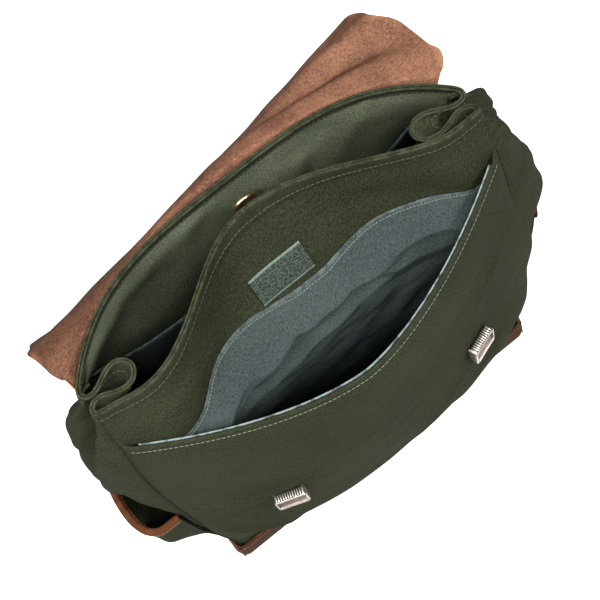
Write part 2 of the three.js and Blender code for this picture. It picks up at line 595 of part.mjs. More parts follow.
// Shoulder straps, lying between the back wall and the hanging flap
for (const side of SIDES) {
  const half = STRAP.width / 2;
  const skin = STRAP.thickness / 2;
  const place = (t) => {
    const z = lerp(STRAP.topZ, STRAP.bottomZ, t);
    const x = side.sign * lerp(STRAP.topX, STRAP.bottomX, t);
    const standoff = CANVAS / 2 + skin + 3 * CLEARANCE + STRAP.bow * Math.sin(Math.PI * t) ** STRAP.bowPower;
    return backWall(x / sectionAt(z).seamX, z).add(new THREE.Vector3(0, standoff, 0));
  };
  const frames = [];
  const pace = 1 / FACETS.strap;
  for (let k = 0; k <= FACETS.strap; k++) {
    const t = k * pace;
    const ahead = place(Math.min(1, t + pace / 2)).sub(place(Math.max(0, t - pace / 2))).normalize();
    const sideways = ahead.clone().cross(new THREE.Vector3(0, 1, 0)).normalize();
    frames.push({ origin: place(t), sideways, outward: ahead.clone().cross(sideways).negate() });
  }
  const section = [[-half, -skin], [half, -skin], [half, skin], [-half, skin]];
  add(`${side.name}_shoulder_strap`, sweep(section, frames), leather);
}

export default bag;
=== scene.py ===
# The looks of an open canvas and leather laptop backpack.
# Lengths are in millimetres and turn into metres where a mesh, light or camera is made.
# X runs to the right seen from the front, the front faces -Y and Z is up.
import math
from types import SimpleNamespace as Sizes

import bpy
import numpy as np
from mathutils import Matrix, Vector


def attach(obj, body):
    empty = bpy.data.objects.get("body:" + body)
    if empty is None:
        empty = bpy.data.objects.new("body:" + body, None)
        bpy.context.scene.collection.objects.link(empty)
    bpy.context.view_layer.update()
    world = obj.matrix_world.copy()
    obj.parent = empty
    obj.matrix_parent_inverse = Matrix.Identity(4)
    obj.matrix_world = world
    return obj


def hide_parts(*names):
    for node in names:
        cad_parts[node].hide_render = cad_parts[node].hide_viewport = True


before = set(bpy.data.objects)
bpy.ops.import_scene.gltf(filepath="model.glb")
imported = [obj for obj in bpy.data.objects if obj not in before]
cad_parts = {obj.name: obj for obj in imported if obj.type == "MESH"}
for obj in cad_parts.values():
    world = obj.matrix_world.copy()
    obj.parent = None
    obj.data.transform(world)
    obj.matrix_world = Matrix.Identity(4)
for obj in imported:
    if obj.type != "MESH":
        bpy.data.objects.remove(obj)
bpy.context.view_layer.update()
MM = 0.001

# Camera, as the photo was taken: angles in degrees, focal length in pixels of a 600 pixel frame
CAMERA = Sizes(azimuth=-15.534, elevation=73.296, roll=-23.618, focal=1634.6, target=(1.37, 6.01, 254.14),
               distance=1139.5, frame=600, sensor=36)

# Wall thicknesses
CANVAS = 1.8
LINING = 1.0
LEATHER = 2.4

# The bag's horizontal sections from the floor up, as in the solids
SECTION_COLUMNS = ("z", "seam_x", "front_y", "back_y", "back_bow", "divider_bow", "divider_dip", "crown",
                   "pocket_bow", "pocket_power", "bulge_left", "bulge_right", "rim_fold", "lobes")
SECTIONS = np.array([
    (0, 147, -59.5, 60, 0, 0, 0, 1.8, 0, 3.0, 0, 0, 0, 0),
    (31, 146, -57.5, 62, 0, 0, 0, 1.8, 0, 3.0, 0, 0, 0, 0),
    (100, 152, -53, 60, 6, 5, 0, 1.8, 37, 3.0, 12, 16, 0, 0),
    (180, 156, -45, 55, 12, 8, 0, 1.8, 51, 1.7, 25, 27, 0, 0),
    (250, 158, -37, 46, 20, 10, 4, 1.8, 56, 1.6, 31, 44, 0, 0.14),
    (300, 157, -31, 34, 30, 16, 8, 1.8, 57, 1.6, 33, 28, 0, 0.5),
    (340, 154, -26, 21, 40, 32, 13, 1.8, 54, 1.6, 38, 34, 0.06, 0.88),
    (370, 152, -19, 12, 46, 41, 9, 1.4, 53, 1.6, 28, 26, 0.4, 0.6),
    (400, 150, -13, 6, 49, 50, 5, 1.0, 52, 1.6, 12, 12, 1, 0),
], float)
RIM_Z = 400
WALL_TOP_Z = RIM_Z - 4
CLOTH_BOTTOM_Z = 5
BASE_TOP_Z = 31
BACK_POWER = 3.5
POCKET_STEP = 2.4
DIVIDER_EDGE = 35
DIVIDER_HALF = (115, 155)
POCKET_LAYERS = 5
POCKET_LAYERS_EDGE = 12
POCKET_RIM_END_Z = 352
POCKET_RIM_SAG = 16
POCKET_ROW_TOP_Z = 350
SEAM_DRIFT = 8

# The gusset's fold at the rim and the lobes below it, from the seam to the tip
RIM_FOLD = ((0.0, 9.5), (0.01, 5.5), (0.1, 2.4), (0.27, 2.3), (0.47, 5.8), (0.69, 8.6), (0.89, 7.0), (1.0, 0.0))
LOBES = ((0, 1.0), (-11, 0.97), (-17, 0.8), (-15, 0.55), (-5, 0.28), (7, 0.1), (12, 0.0))
LOBE_SPREAD = 22
SEAM_END_POWER = 6
# The two sides. A hump is a place around the gusset, a height, two widths and how far it stands out
SIDES = {
    "left": Sizes(sign=-1, fold_reach=36.5, fold_shift=2, unfold=1, lobes=1, back_lobe=1, front_lobe=1, crease=1,
                  bulge="bulge_left", skew=1, drift=0, pocket_end=0.94, stand=2.0, gape=12, gape_skew=3, belly=11,
                  humps=((0.4, 315, 0.2, 22, 8.0), (0.5, 230, 0.24, 30, 4.5))),
    "right": Sizes(sign=1, fold_reach=42, fold_shift=5, unfold=1.8, lobes=0.7, back_lobe=1.9, front_lobe=0.6,
                   crease=-0.5, bulge="bulge_right", skew=1.4, drift=1, pocket_end=0.84, stand=0.6, gape=0,
                   gape_skew=0.75, belly=0,
                   humps=((0.25, 372, 0.12, 16, -2.1), (0.45, 350, 0.16, 18, 3.8), (0.5, 318, 0.2, 22, 1.6),
                          (0.5, 284, 0.24, 26, 7.8), (0.55, 245, 0.24, 30, -13.2), (0.65, 200, 0.22, 36, 10.9),
                          (0.07, 365, 0.09, 22, 11.0), (0.19, 346, 0.08, 14, -5.0), (0.34, 350, 0.09, 18, 5.0),
                          (0.86, 205, 0.12, 26, 9.0), (0.9, 140, 0.12, 30, 8.0))),
}


# Small numeric helpers
def smoothstep(low, high, x):
    t = np.clip((x - low) / (high - low), 0, 1)
    return t * t * (3 - 2 * t)


def mix(a, b, t):
    return a + (b - a) * t


def unit(v):
    return v / np.maximum(np.linalg.norm(v, axis=-1, keepdims=True), 1e-12)


def two_runs(first, second):
    """Places in two even runs, each a start, an end and a count."""
    return np.concatenate([np.linspace(*first), np.linspace(*second)])


def run_lengths(path):
    """How far along a path each of its points lies."""
    return np.concatenate([[0], np.cumsum(np.linalg.norm(np.diff(path, axis=0), axis=1))])


def monotone(table, column, at):
    """A smooth curve through one column of a table over its first, without overshoot."""
    xs, ys = table[:, 0], table[:, column]
    at = np.clip(at, xs[0], xs[-1])
    step = np.diff(xs)
    rise = np.diff(ys) / step
    slope = np.concatenate([rise[:1], np.zeros(len(xs) - 2), rise[-1:]])
    before, after = rise[:-1], rise[1:]
    same = before * after > 0
    slope[1:-1] = np.where(same, 2 * before * after / np.where(same, before + after, 1), 0)
    k = np.clip(np.searchsorted(xs, at, side="right") - 1, 0, len(xs) - 2)
    t = (at - xs[k]) / step[k]
    start = ys[k] * (1 + 2 * t) + slope[k] * step[k] * t
    end = ys[k + 1] * (3 - 2 * t) + slope[k + 1] * step[k] * (t - 1)
    return start * (1 - t) ** 2 + end * t ** 2


def waves(seed, x, y, length, count=7):
    """Soft irregular waves between about -1 and 1, the same on every run."""
    rng = np.random.default_rng(seed)
    total = np.zeros(np.broadcast(x, y).shape)
    for _ in range(count):
        angle, phase, stretch = rng.uniform(0, math.pi), rng.uniform(0, 2 * math.pi), rng.uniform(0.6, 1.5)
        along = np.cos(angle) * x + np.sin(angle) * y
        total = total + np.sin(2 * math.pi * along / (length * stretch) + phase)
    return total / math.sqrt(count * 1.5)


def rumple(x, y, *layers):
    """Layers of waves, each a seed, a height and a length."""
    return sum(height * waves(seed, x, y, length) for seed, height, length in layers)


def crease(x, z, lines):
    """Soft ridges along lines: (x0, z0, x1, z1, width, height) each."""
    total = np.zeros(np.broadcast(x, z).shape)
    for x0, z0, x1, z1, width, height in lines:
        dx, dz = x1 - x0, z1 - z0
        along = ((x - x0) * dx + (z - z0) * dz) / (dx * dx + dz * dz)
        away = ((x - x0) * dz - (z - z0) * dx) / math.hypot(dx, dz)
        ends = smoothstep(-0.15, 0.2, along) * smoothstep(1.15, 0.8, along)
        total = total + height * ends * np.exp(-(away / width) ** 2)
    return total


def smooth_curve(points, count):
    """Evenly spaced points on a curve through the given ones."""
    p = np.array(points, float)
    p = np.vstack([2 * p[0] - p[1], p, 2 * p[-1] - p[-2]])
    t = np.linspace(0, 1, 60, endpoint=False)[:, None]
    dense = [0.5 * (2 * b + (c - a) * t + (2 * a - 5 * b + 4 * c - d) * t ** 2 + (3 * b - a - 3 * c + d) * t ** 3)
             for a, b, c, d in zip(p[:-3], p[1:-2], p[2:-1], p[3:])]
    dense = np.vstack(dense + [p[-2:-1]])
    length = run_lengths(dense)
    at = np.linspace(0, length[-1], count)
    return np.stack([np.interp(at, length, dense[:, k]) for k in range(dense.shape[1])], 1)


# The walls as surfaces, each a point for a place across the bag and a height
def sections(z):
    return Sizes(**{name: monotone(SECTIONS, k, z) for k, name in enumerate(SECTION_COLUMNS)})


def surface(x, y, z):
    return np.stack(np.broadcast_arrays(x, y, z), -1)


def back_wall(across, z):
    s = sections(z)
    return surface(s.seam_x * across, s.back_y + s.back_bow * (1 - np.abs(across) ** BACK_POWER), z)


def pocket_wall(across, z):
    s = sections(z)
    y = s.front_y - POCKET_STEP - s.pocket_bow * (1 - np.abs(across) ** s.pocket_power)
    return surface(s.seam_x * across, y, z)


def divider_wall(across, z):
    s = sections(z)
    x = s.seam_x * across
    half = np.where(x < 0, *DIVIDER_HALF)
    bow = (1 + np.cos(math.pi * np.minimum(1, np.abs(x) / half) ** s.crown)) / 2
    inset = s.seam_x - np.abs(x)
    free = s.front_y - s.divider_dip * smoothstep(0, DIVIDER_EDGE, inset) + s.divider_bow * bow
    layers = mix(POCKET_STEP, POCKET_LAYERS, np.minimum(1, inset / POCKET_LAYERS_EDGE))
    behind_pocket = pocket_wall(across, z)[..., 1] + layers
    y = np.where(z > POCKET_RIM_END_Z + POCKET_RIM_SAG, free, np.maximum(free, behind_pocket))
    return surface(x, y, z)


def pocket_rim_z(across):
    return POCKET_RIM_END_Z - POCKET_RIM_SAG * (1 - across ** 2)


def pocket_front(across, height):
    """The pocket's panel; height runs from the cloth's bottom to POCKET_ROW_TOP_Z at the rim."""
    stretch = (pocket_rim_z(across) - CLOTH_BOTTOM_Z) / (POCKET_ROW_TOP_Z - CLOTH_BOTTOM_Z)
    return pocket_wall(across, CLOTH_BOTTOM_Z + (height - CLOTH_BOTTOM_Z) * stretch)


CURVE_POINTS = 401
CURVE_PLACES = np.linspace(0, 1, CURVE_POINTS)


def mirrored(half):
    half = np.array(half, float)
    return smooth_curve(np.vstack([half, half[-2::-1] * (1, -1)]), CURVE_POINTS)


LOBE_CURVE = mirrored([(x, LOBE_SPREAD * spread) for x, spread in LOBES])
FOLD_CURVES = {name: mirrored([(reach * side.fold_reach, spread) for reach, spread in RIM_FOLD])
               for name, side in SIDES.items()}


def gusset_wall(name, around, z):
    side, s = SIDES[name], sections(z)
    half = (s.back_y - s.front_y) / 2
    rim_fold = s.rim_fold ** side.unfold
    lobes = s.lobes * side.lobes
    open_share = 1 - rim_fold - lobes
    fold_x, fold_y = (np.interp(around, CURVE_PLACES, FOLD_CURVES[name][:, k]) for k in (0, 1))
    lobe_x, lobe_y = (np.interp(around, CURVE_PLACES, LOBE_CURVE[:, k]) for k in (0, 1))
    ends = np.sign(0.5 - around) * np.abs(2 * around - 1) ** SEAM_END_POWER
    fold_y = fold_y + side.fold_shift * fold_x / side.fold_reach + (half - RIM_FOLD[0][1]) * ends
    bulge = getattr(s, side.bulge) * np.sin(math.pi * around ** side.skew)
    puff = np.where(around < 0.5, side.back_lobe, side.front_lobe)
    inward = rim_fold * fold_x + lobes * np.where(lobe_x < 0, puff, side.crease) * lobe_x - open_share * bulge
    off = rim_fold * fold_y + lobes * half * lobe_y / LOBE_SPREAD + open_share * half * (1 - 2 * around)
    return surface(side.sign * (s.seam_x - inward), (s.back_y + s.front_y) / 2 + off, z)


def seam_drift(share, z):
    """How far the right front seam stands out beyond the plain section, for a share of the way to it."""
    return SEAM_DRIFT * smoothstep(0.45, 1, share) * smoothstep(BASE_TOP_Z, 80, z) * smoothstep(300, 200, z)


def swell(points, side, around, z):
    """Moves a side's points outwards by its humps, and on the right by the seam's drift."""
    humps = sum(out * np.exp(-((around - place) / wide) ** 2 - ((z - high) / tall) ** 2)
                for place, high, wide, tall, out in side.humps)
    out = side.drift * seam_drift(around, z) + humps * np.sqrt(np.sin(math.pi * around).clip(0))
    points[..., 0] += side.sign * out


# Mesh building
def normals(points, closed=False):
    """Unit normals of a grid of points, from its rows and columns."""
    across = np.gradient(points, axis=1)
    if closed:
        across = (np.roll(points, -1, axis=1) - np.roll(points, 1, axis=1)) / 2
    return unit(np.cross(across, np.gradient(points, axis=0)))


def pushed(points, distance):
    return points + normals(points) * np.asarray(distance)[..., None]


def grid_lengths(points):
    """Distances along the rows and along the columns of a grid, for an even weave."""
    u = np.linalg.norm(np.diff(points, axis=1), axis=-1).cumsum(axis=1)
    v = np.linalg.norm(np.diff(points, axis=0), axis=-1).cumsum(axis=0)
    return np.pad(u, ((0, 0), (1, 0))), np.pad(v, ((1, 0), (0, 0)))


def ring_faces(rings, around, first=0):
    """Faces between closed rings of points that follow each other."""
    faces = []
    for ring in range(first, first + (rings - 1) * around, around):
        for i in range(around):
            j = (i + 1) % around
            faces.append((ring + i, ring + j, ring + around + j, ring + around + i))
    return faces


def capped(rings, around):
    """Faces of a closed body of rings, with its first and last ring filled."""
    last = (rings - 1) * around
    return ring_faces(rings, around) + [tuple(range(around - 1, -1, -1)), tuple(range(last, last + around))]


def make_object(name, points, faces, materials, face_material=None, uv=None, wear=None, smooth=True):
    mesh = bpy.data.meshes.new(name)
    mesh.from_pydata((np.asarray(points) * MM).tolist(), [], [list(map(int, f)) for f in faces])
    for material in materials:
        mesh.materials.append(material)
    if face_material is not None:
        mesh.polygons.foreach_set("material_index", np.asarray(face_material, np.int32))
    if uv is not None:
        corner = np.zeros(len(mesh.loops), np.int32)
        mesh.loops.foreach_get("vertex_index", corner)
        layer = mesh.uv_layers.new(name="weave")
        layer.data.foreach_set("uv", (np.asarray(uv)[corner] * MM).astype(np.float32).ravel())
    attribute = mesh.attributes.new("wear", "FLOAT", "POINT")
    if wear is not None:
        attribute.data.foreach_set("value", np.asarray(wear, np.float32).ravel())
    mesh.polygons.foreach_set("use_smooth", [smooth] * len(mesh.polygons))
    mesh.validate()
    mesh.update()
    obj = bpy.data.objects.new(name, mesh)
    bpy.context.scene.collection.objects.link(obj)
    return obj


def settle(piece, slot, *nodes, body="bag"):
    """What every piece needs: the body it moves with and the solid it stands for; slot, its finish, is not used."""
    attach(piece, body)
    if nodes:
        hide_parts(*nodes)


# Outlines of a wall's last edge, from one face to the other, in half thicknesses
LIP = np.linspace(-1, 1, 25)
LIP_HEIGHT = {"double": np.sqrt(np.maximum(0, 0.25 - (np.abs(LIP) - 0.5) ** 2)) - 0.7 * np.exp(-(LIP / 0.15) ** 2),
              "round": np.sqrt(1 - LIP ** 2), "flat": np.zeros_like(LIP)}
LIP_WEAVE = 0.3


def shell(name, points, half, materials, slot, *nodes, lip="round", closed=False, wear=None):
    """A closed wall on both sides of a grid of points. materials is one for all, or those of the side that
    the normals point to, of the other side and of the edge; lip is the form of the last row's edge."""
    rows, columns = points.shape[:2]
    half = np.broadcast_to(np.asarray(half, float), (rows, columns))
    n = normals(points, closed)
    front, back = points + n * half[..., None], points - n * half[..., None]
    up = unit(points[-1] - points[-2])
    rolled = [points[-1] + n[-1] * (s * half[-1])[:, None] + up * (h * half[-1])[:, None]
              for s, h in zip(LIP[1:-1], LIP_HEIGHT[lip][1:-1])]
    layer = rows * columns
    index = np.arange(layer).reshape(rows, columns)
    lip_index = 2 * layer + np.arange(len(rolled) * columns).reshape(len(rolled), columns)
    strip = np.vstack([index[-1:] + layer, lip_index, index[-1:]])

    def quads(grid):
        wrapped = np.hstack([grid, grid[:, :1]]) if closed else grid
        return np.stack([wrapped[:-1, :-1], wrapped[:-1, 1:], wrapped[1:, 1:], wrapped[1:, :-1]], -1).reshape(-1, 4)

    front_faces, back_faces, lip_faces = quads(index), quads(index + layer)[:, ::-1], quads(strip)[:, ::-1]
    edge_faces = [quads(np.vstack([index[:1], index[:1] + layer]))[:, ::-1]]
    if not closed:
        for column, order in ((0, 1), (-1, -1)):
            edge = np.stack([index[:, column], index[:, column] + layer], 1)
            edge_faces.append(quads(edge)[:, ::order])
            ends = strip[:, column]
            fan = np.array([[a, b, ends[0], ends[0]] for a, b in zip(ends[1:-1], ends[2:])])
            edge_faces.append(fan[:, ::order])
    edge_faces = np.vstack(edge_faces)
    faces = np.vstack([front_faces, back_faces, lip_faces, edge_faces])
    kinds = np.repeat([0, 1, 2, 2], [len(front_faces), len(back_faces), len(lip_faces), len(edge_faces)])
    u, v = grid_lengths(points)
    flat_uv = np.stack([u, v], -1).reshape(-1, 2)
    lip_uv = np.vstack([np.stack([u[-1], v[-1] + LIP_WEAVE * k], -1) for k in range(len(rolled))])
    worn = np.zeros((rows, columns)) if wear is None else np.broadcast_to(wear, (rows, columns))
    lip_worn = np.repeat(worn[-1:], len(rolled), 0)
    faces = [f[:3] if f[2] == f[3] else f for f in faces]
    settle(make_object(name, np.vstack([front.reshape(-1, 3), back.reshape(-1, 3), np.vstack(rolled)]), faces,
                       materials if isinstance(materials, list) else [materials] * 3, kinds,
                       np.vstack([flat_uv, flat_uv, lip_uv]),
                       np.concatenate([worn.ravel(), worn.ravel(), lip_worn.ravel()])), slot, *nodes)


# Capsules laid end to end along a line, as sewing thread
STITCH = Sizes(pitch=3.4, length=2.7, width=0.38, height=0.3, sides=6,
               rings=((-1, 0), (-0.85, 0.6), (-0.45, 1), (0.45, 1), (0.85, 0.6), (1, 0)))


def sew(name, slot, path, outward, material, pitch=STITCH.pitch, closed=False):
    path, outward = np.asarray(path, float), np.asarray(outward, float)
    if closed:
        path, outward = np.vstack([path, path[:1]]), np.vstack([outward, outward[:1]])
    length = run_lengths(path)
    places = np.arange(pitch / 2, length[-1] - pitch / 4, pitch)

    def at(values, where):
        return np.stack([np.interp(where, length, values[:, k]) for k in range(3)], -1)

    centre, along = at(path, places), unit(at(path, places + 0.5) - at(path, places - 0.5))
    out = unit(at(outward, places))
    scale = pitch / STITCH.pitch
    points, faces = [], []
    for c, a, o, s in zip(centre, along, out, np.cross(along, out)):
        faces += ring_faces(len(STITCH.rings), STITCH.sides, len(points))
        for lengthwise, girth in STITCH.rings:
            for angle in np.arange(STITCH.sides) * 2 * math.pi / STITCH.sides:
                points.append(c + a * lengthwise * STITCH.length / 2 * scale
                              + s * math.cos(angle) * girth * STITCH.width * scale
                              + o * math.sin(angle) * girth * STITCH.height * scale)
    settle(make_object(name, points, faces, [material]), slot)


# Materials, all from nodes
def srgb(r, g, b):
    return tuple((c / 255 / 12.92) if c <= 10 else ((c / 255 + 0.055) / 1.055) ** 2.4 for c in (r, g, b)) + (1,)


class Shader:
    """A material whose nodes are added one by one."""

    def __init__(self, name):
        self.material = bpy.data.materials.new(name)
        self.material.use_nodes = True
        self.tree = self.material.node_tree
        self.bsdf = self.tree.nodes["Principled BSDF"]
        self.place = self.node("ShaderNodeTexCoord").outputs["Object"]
        self.weave = self.node("ShaderNodeUVMap", settings={"uv_map": "weave"}).outputs["UV"]

    def node(self, kind, inputs=(), settings=()):
        made = self.tree.nodes.new(kind)
        for key, value in dict(settings).items():
            setattr(made, key, value)
        for key, value in dict(inputs).items():
            self.put(made.inputs[key], value)
        return made

    def put(self, socket, value):
        if isinstance(value, bpy.types.NodeSocket):
            self.tree.links.new(value, socket)
        else:
            socket.default_value = value

    def math(self, operation, a, b):
        return self.node("ShaderNodeMath", {0: a, 1: b}, {"operation": operation}).outputs[0]

    def add(self, a, b):
        return self.math("ADD", a, b)

    def less(self, a, b):
        return self.math("SUBTRACT", a, b)

    def times(self, a, b):
        return self.math("MULTIPLY", a, b)

    def noise(self, scale, detail=3.0, roughness=0.55, vector=None, stretch=None):
        vector = vector or self.place
        if stretch:
            vector = self.node("ShaderNodeMapping", {"Vector": vector, "Scale": stretch}).outputs[0]
        return self.node("ShaderNodeTexNoise", {"Vector": vector, "Scale": scale, "Detail": detail,
                                                "Roughness": roughness}).outputs["Fac"]

    def wave(self, direction, **inputs):
        named = {key.replace("_", " ").title(): value for key, value in inputs.items()}
        return self.node("ShaderNodeTexWave", named, {"bands_direction": direction}).outputs["Fac"]

    def cells(self, scale, feature="F1"):
        return self.node("ShaderNodeTexVoronoi", {"Vector": self.place, "Scale": scale},
                         {"feature": feature}).outputs["Distance"]

    def ramp(self, value, low, high):
        return self.node("ShaderNodeMapRange", {"Value": value, "From Min": low, "From Max": high},
                         {"interpolation_type": "SMOOTHSTEP"}).outputs["Result"]

    def blend(self, share, a, b):
        made = self.node("ShaderNodeMix", {"Factor": share}, {"data_type": "RGBA"})
        self.put(made.inputs[6], a)
        self.put(made.inputs[7], b)
        return made.outputs[2]

    def wear(self):
        return self.node("ShaderNodeAttribute", settings={"attribute_name": "wear"}).outputs["Fac"]

    def threads(self, pitch):
        """Height of a plain weave with that distance between threads."""
        scale = 2 * math.pi / (20 * pitch * MM)
        warp, weft = (self.wave(axis, vector=self.weave, scale=scale, distortion=0.0) for axis in ("X", "Y"))
        return self.times(self.less(warp, 0.5), self.less(weft, 0.5))

    def bump(self, height, distance, strength=1.0, normal=None):
        inputs = {"Height": height, "Distance": distance * MM, "Strength": strength}
        if normal:
            inputs["Normal"] = normal
        return self.node("ShaderNodeBump", inputs).outputs["Normal"]

    def finish(self, **sockets):
        for key, value in sockets.items():
            self.put(self.bsdf.inputs[key.replace("_", " ").title().replace("Ior", "IOR")], value)
        return self.material


# Cloth: how long a thread, a slub and a speck are in threads, and how much each adds to the grain
WEAVE = Sizes(run=0.24, slub=(0.62, 0.18), speck=1.5, fine=0.24, coarse=0.28, fade=0.5)


def cloth_material(name, dark, light, pale, pitch, contrast):
    s = Shader(name)
    long, short = WEAVE.run / (pitch * MM), 1.0 / (pitch * MM)
    warp = s.noise(1.0, 2.0, vector=s.weave, stretch=(short, long, 1.0))
    weft = s.noise(1.0, 2.0, vector=s.weave, stretch=(long, short, 1.0))
    slubs = s.noise(1.0, 2.0, vector=s.weave, stretch=(WEAVE.slub[0] * short, WEAVE.slub[1] * short, 1.0))
    specks = s.noise(1.0 / (WEAVE.speck * pitch * MM), 2.0)
    fine = s.times(s.add(s.add(warp, weft), specks), WEAVE.fine)
    grain = s.add(fine, s.times(slubs, WEAVE.coarse))
    tone = s.add(s.times(s.less(grain, 0.5), contrast), s.times(s.noise(11.0), WEAVE.fade))
    colour = s.blend(s.ramp(tone, 0.5 * WEAVE.fade - 0.5, 0.5 * WEAVE.fade + 0.5), srgb(*dark), srgb(*light))
    worn = s.times(s.wear(), s.ramp(s.add(grain, s.noise(160.0)), 0.8, 1.2))
    colour = s.blend(worn, colour, srgb(*pale))
    normal = s.bump(s.add(s.threads(pitch), s.times(grain, 1.4)), 0.3, 0.8)
    normal = s.bump(s.noise(60.0), 0.8, 0.25, normal)
    return s.finish(base_color=colour, normal=normal, roughness=0.95, specular_ior_level=0.03)


def leather_material(name, dark, light, worn, fibre):
    """Leather, from smooth grain side at fibre 0 to hairy flesh side at 1."""
    s = Shader(name)
    blotch = s.add(s.times(s.noise(13.0, 4.0), 0.6), s.times(s.noise(70.0, 5.0, 0.65), 0.4))
    pores = s.cells(620.0, "DISTANCE_TO_EDGE")
    hairs = s.noise(1.0, 6.0, 0.7, stretch=(420.0, 1500.0, 1500.0))
    detail = s.add(s.times(hairs, fibre), s.times(s.noise(700.0, 5.0, 0.7), 0.45))
    tone = s.add(blotch, s.times(s.less(detail, 0.5 * (fibre + 0.45)), 1.5))
    colour = s.blend(s.ramp(tone, 0.25, 0.78), srgb(*dark), srgb(*light))
    scratch = s.wave("DIAGONAL", vector=s.place, scale=9.0, distortion=14.0, detail=4.0, detail_scale=1.3)
    marks = s.times(s.ramp(scratch, 0.985, 1.0), s.ramp(s.noise(24.0), 0.45, 0.62))
    colour = s.blend(s.times(marks, 0.5), colour, srgb(*dark))
    colour = s.blend(s.wear(), colour, srgb(*worn))
    normal = s.bump(s.add(s.times(s.ramp(pores, 0.0, 0.18), 1.0 - fibre), detail), 0.18, 0.6)
    normal = s.bump(s.noise(30.0, 4.0), 1.4, 0.3, normal)
    rough = s.add(0.6 + 0.2 * fibre, s.times(blotch, 0.25))
    return s.finish(base_color=colour, normal=normal, roughness=rough, specular_ior_level=0.05 - 0.03 * fibre)


def metal_material(name, colour, tarnish, roughness):
    s = Shader(name)
    cloud = s.ramp(s.noise(160.0, 4.0), 0.42, 0.72)
    rubs = s.noise(1.0, stretch=(200.0, 3000.0, 3000.0))
    shade = s.blend(s.times(cloud, 0.45), srgb(*colour), srgb(*tarnish))
    rough = s.add(roughness, s.times(s.less(rubs, 0.5), 0.22))
    return s.finish(base_color=shade, metallic=1.0, roughness=rough, normal=s.bump(rubs, 0.02, 0.5))


def pile_material(name, dark, light, selvedge):
    s = Shader(name)
    tone = s.add(s.times(s.cells(760.0), 0.8), s.times(s.noise(900.0, 4.0, 0.7), 0.7))
    colour = s.blend(s.ramp(tone, 0.4, 0.95), srgb(*dark), srgb(*light))
    colour = s.blend(s.wear(), colour, srgb(*selvedge))
    return s.finish(base_color=colour, normal=s.bump(tone, 0.5, 0.9), roughness=0.95, specular_ior_level=0.1)


def thread_material(name, dark, light):
    s = Shader(name)
    ply = s.wave("DIAGONAL", vector=s.place, scale=420.0)
    colour = s.blend(s.add(s.times(ply, 0.4), s.times(s.noise(300.0), 0.6)), srgb(*dark), srgb(*light))
    return s.finish(base_color=colour, normal=s.bump(ply, 0.08, 0.6), roughness=0.8)


canvas = cloth_material("olive_canvas", (14, 16, 9), (48, 51, 36), (74, 78, 60), 0.56, 3.5)
# The same canvas painted lighter, as painted light on the inside of the bag
painted_light_canvas = cloth_material("olive_canvas_painted_light", (40, 44, 33), (116, 123, 100), (126, 132, 110), 0.62, 3.6)
lining = cloth_material("grey_lining", (26, 30, 31), (60, 68, 67), (116, 128, 124), 0.5, 3.2)
leather = leather_material("waxed_leather", (31, 18, 8), (61, 37, 17), (96, 62, 34), 0.15)
flesh = leather_material("flesh_side_leather", (64, 43, 33), (112, 78, 60), (136, 96, 68), 0.75)
cut_edge = leather_material("cut_leather_edge", (150, 88, 48), (206, 142, 92), (214, 160, 110), 0.6)
binding_leather = leather_material("binding_leather", (44, 24, 12), (76, 44, 25), (100, 62, 37), 0.15)
steel = metal_material("warm_plated_steel", (150, 141, 134), (96, 86, 78), 0.3)
# Steel painted dark, as painted shade in the lock's recesses and between the lever's ribs
painted_shade_steel = metal_material("shaded_steel", (44, 41, 38), (26, 23, 21), 0.5)
# Steel painted near white, as a painted highlight on the grip ribs
painted_highlight_steel = metal_material("painted_highlight_steel", (236, 232, 226), (176, 168, 158), 0.34)
# Satin steel painted darker, as painted shade on the lock frame's front band
satin_painted_shade_steel = metal_material("satin_painted_shade_steel", (92, 86, 80), (58, 53, 48), 0.42)
brass = metal_material("polished_brass", (240, 208, 164), (196, 150, 104), 0.34)
pile = pile_material("hook_tape", (5, 7, 6), (52, 61, 54), (88, 100, 92))
olive_thread = thread_material("olive_thread", (24, 27, 19), (58, 62, 47))
pale_thread = thread_material("pale_thread", (62, 68, 58), (100, 108, 94))
brown_thread = thread_material("brown_thread", (84, 50, 32), (150, 100, 66))

# Canvas walls. Each fold is a line, a width and a height, as crease takes them
HEM = Sizes(height=11, half=1.75, stitch=7.5)
ROLL = Sizes(depth=9.0, width=8.0)
BACK_HALF = 150
POCKET_HALF = 152
BACK_FOLDS = ((40, 392, 26, 250, 9, 2.2), (72, 396, 60, 240, 8, -1.8), (-30, 380, -62, 250, 12, 1.6),
              (104, 395, 86, 280, 8, 1.8), (-84, 390, -104, 270, 10, -1.6))
DIVIDER_FOLDS = ((-120, 372, -60, 350, 7, 1.3), (-132, 352, -70, 322, 8, -1.4), (60, 378, 130, 362, 9, 1.2),
                 (84, 350, 140, 336, 8, -1.2))
POCKET_FOLDS = ((-152, 201, -98, 199, 3.4, 2.6), (-108, 196, -58, 219, 3.4, 2.6), (-150, 187, -62, 202, 5.5, -2.2),
                (-156, 150, -102, 165, 3.6, 2.4), (-146, 130, -92, 96, 3.6, 2.4), (-140, 114, -84, 80, 6, -2.0),
                (-110, 52, -20, 86, 6, 1.6), (-60, 60, 30, 90, 7, 1.3), (120, 90, 60, 190, 8, 1.6),
                (134, 140, 90, 250, 8, -1.5), (100, 60, 30, 120, 7, -1.4), (-20, 220, -90, 250, 12, 0.9),
                (10, 130, 84, 168, 6, 1.2), (36, 110, 128, 150, 6, -1.3), (60, 215, 132, 262, 7, 1.1))
GUSSET_FOLDS = ((52, 378, 58, 180, 4, -3.2), (30, 350, 44, 260, 6, 1.6), (74, 330, 62, 210, 6, 1.8),
                (84, 250, 60, 180, 7, -1.4), (16, 300, 30, 200, 7, -1.2))


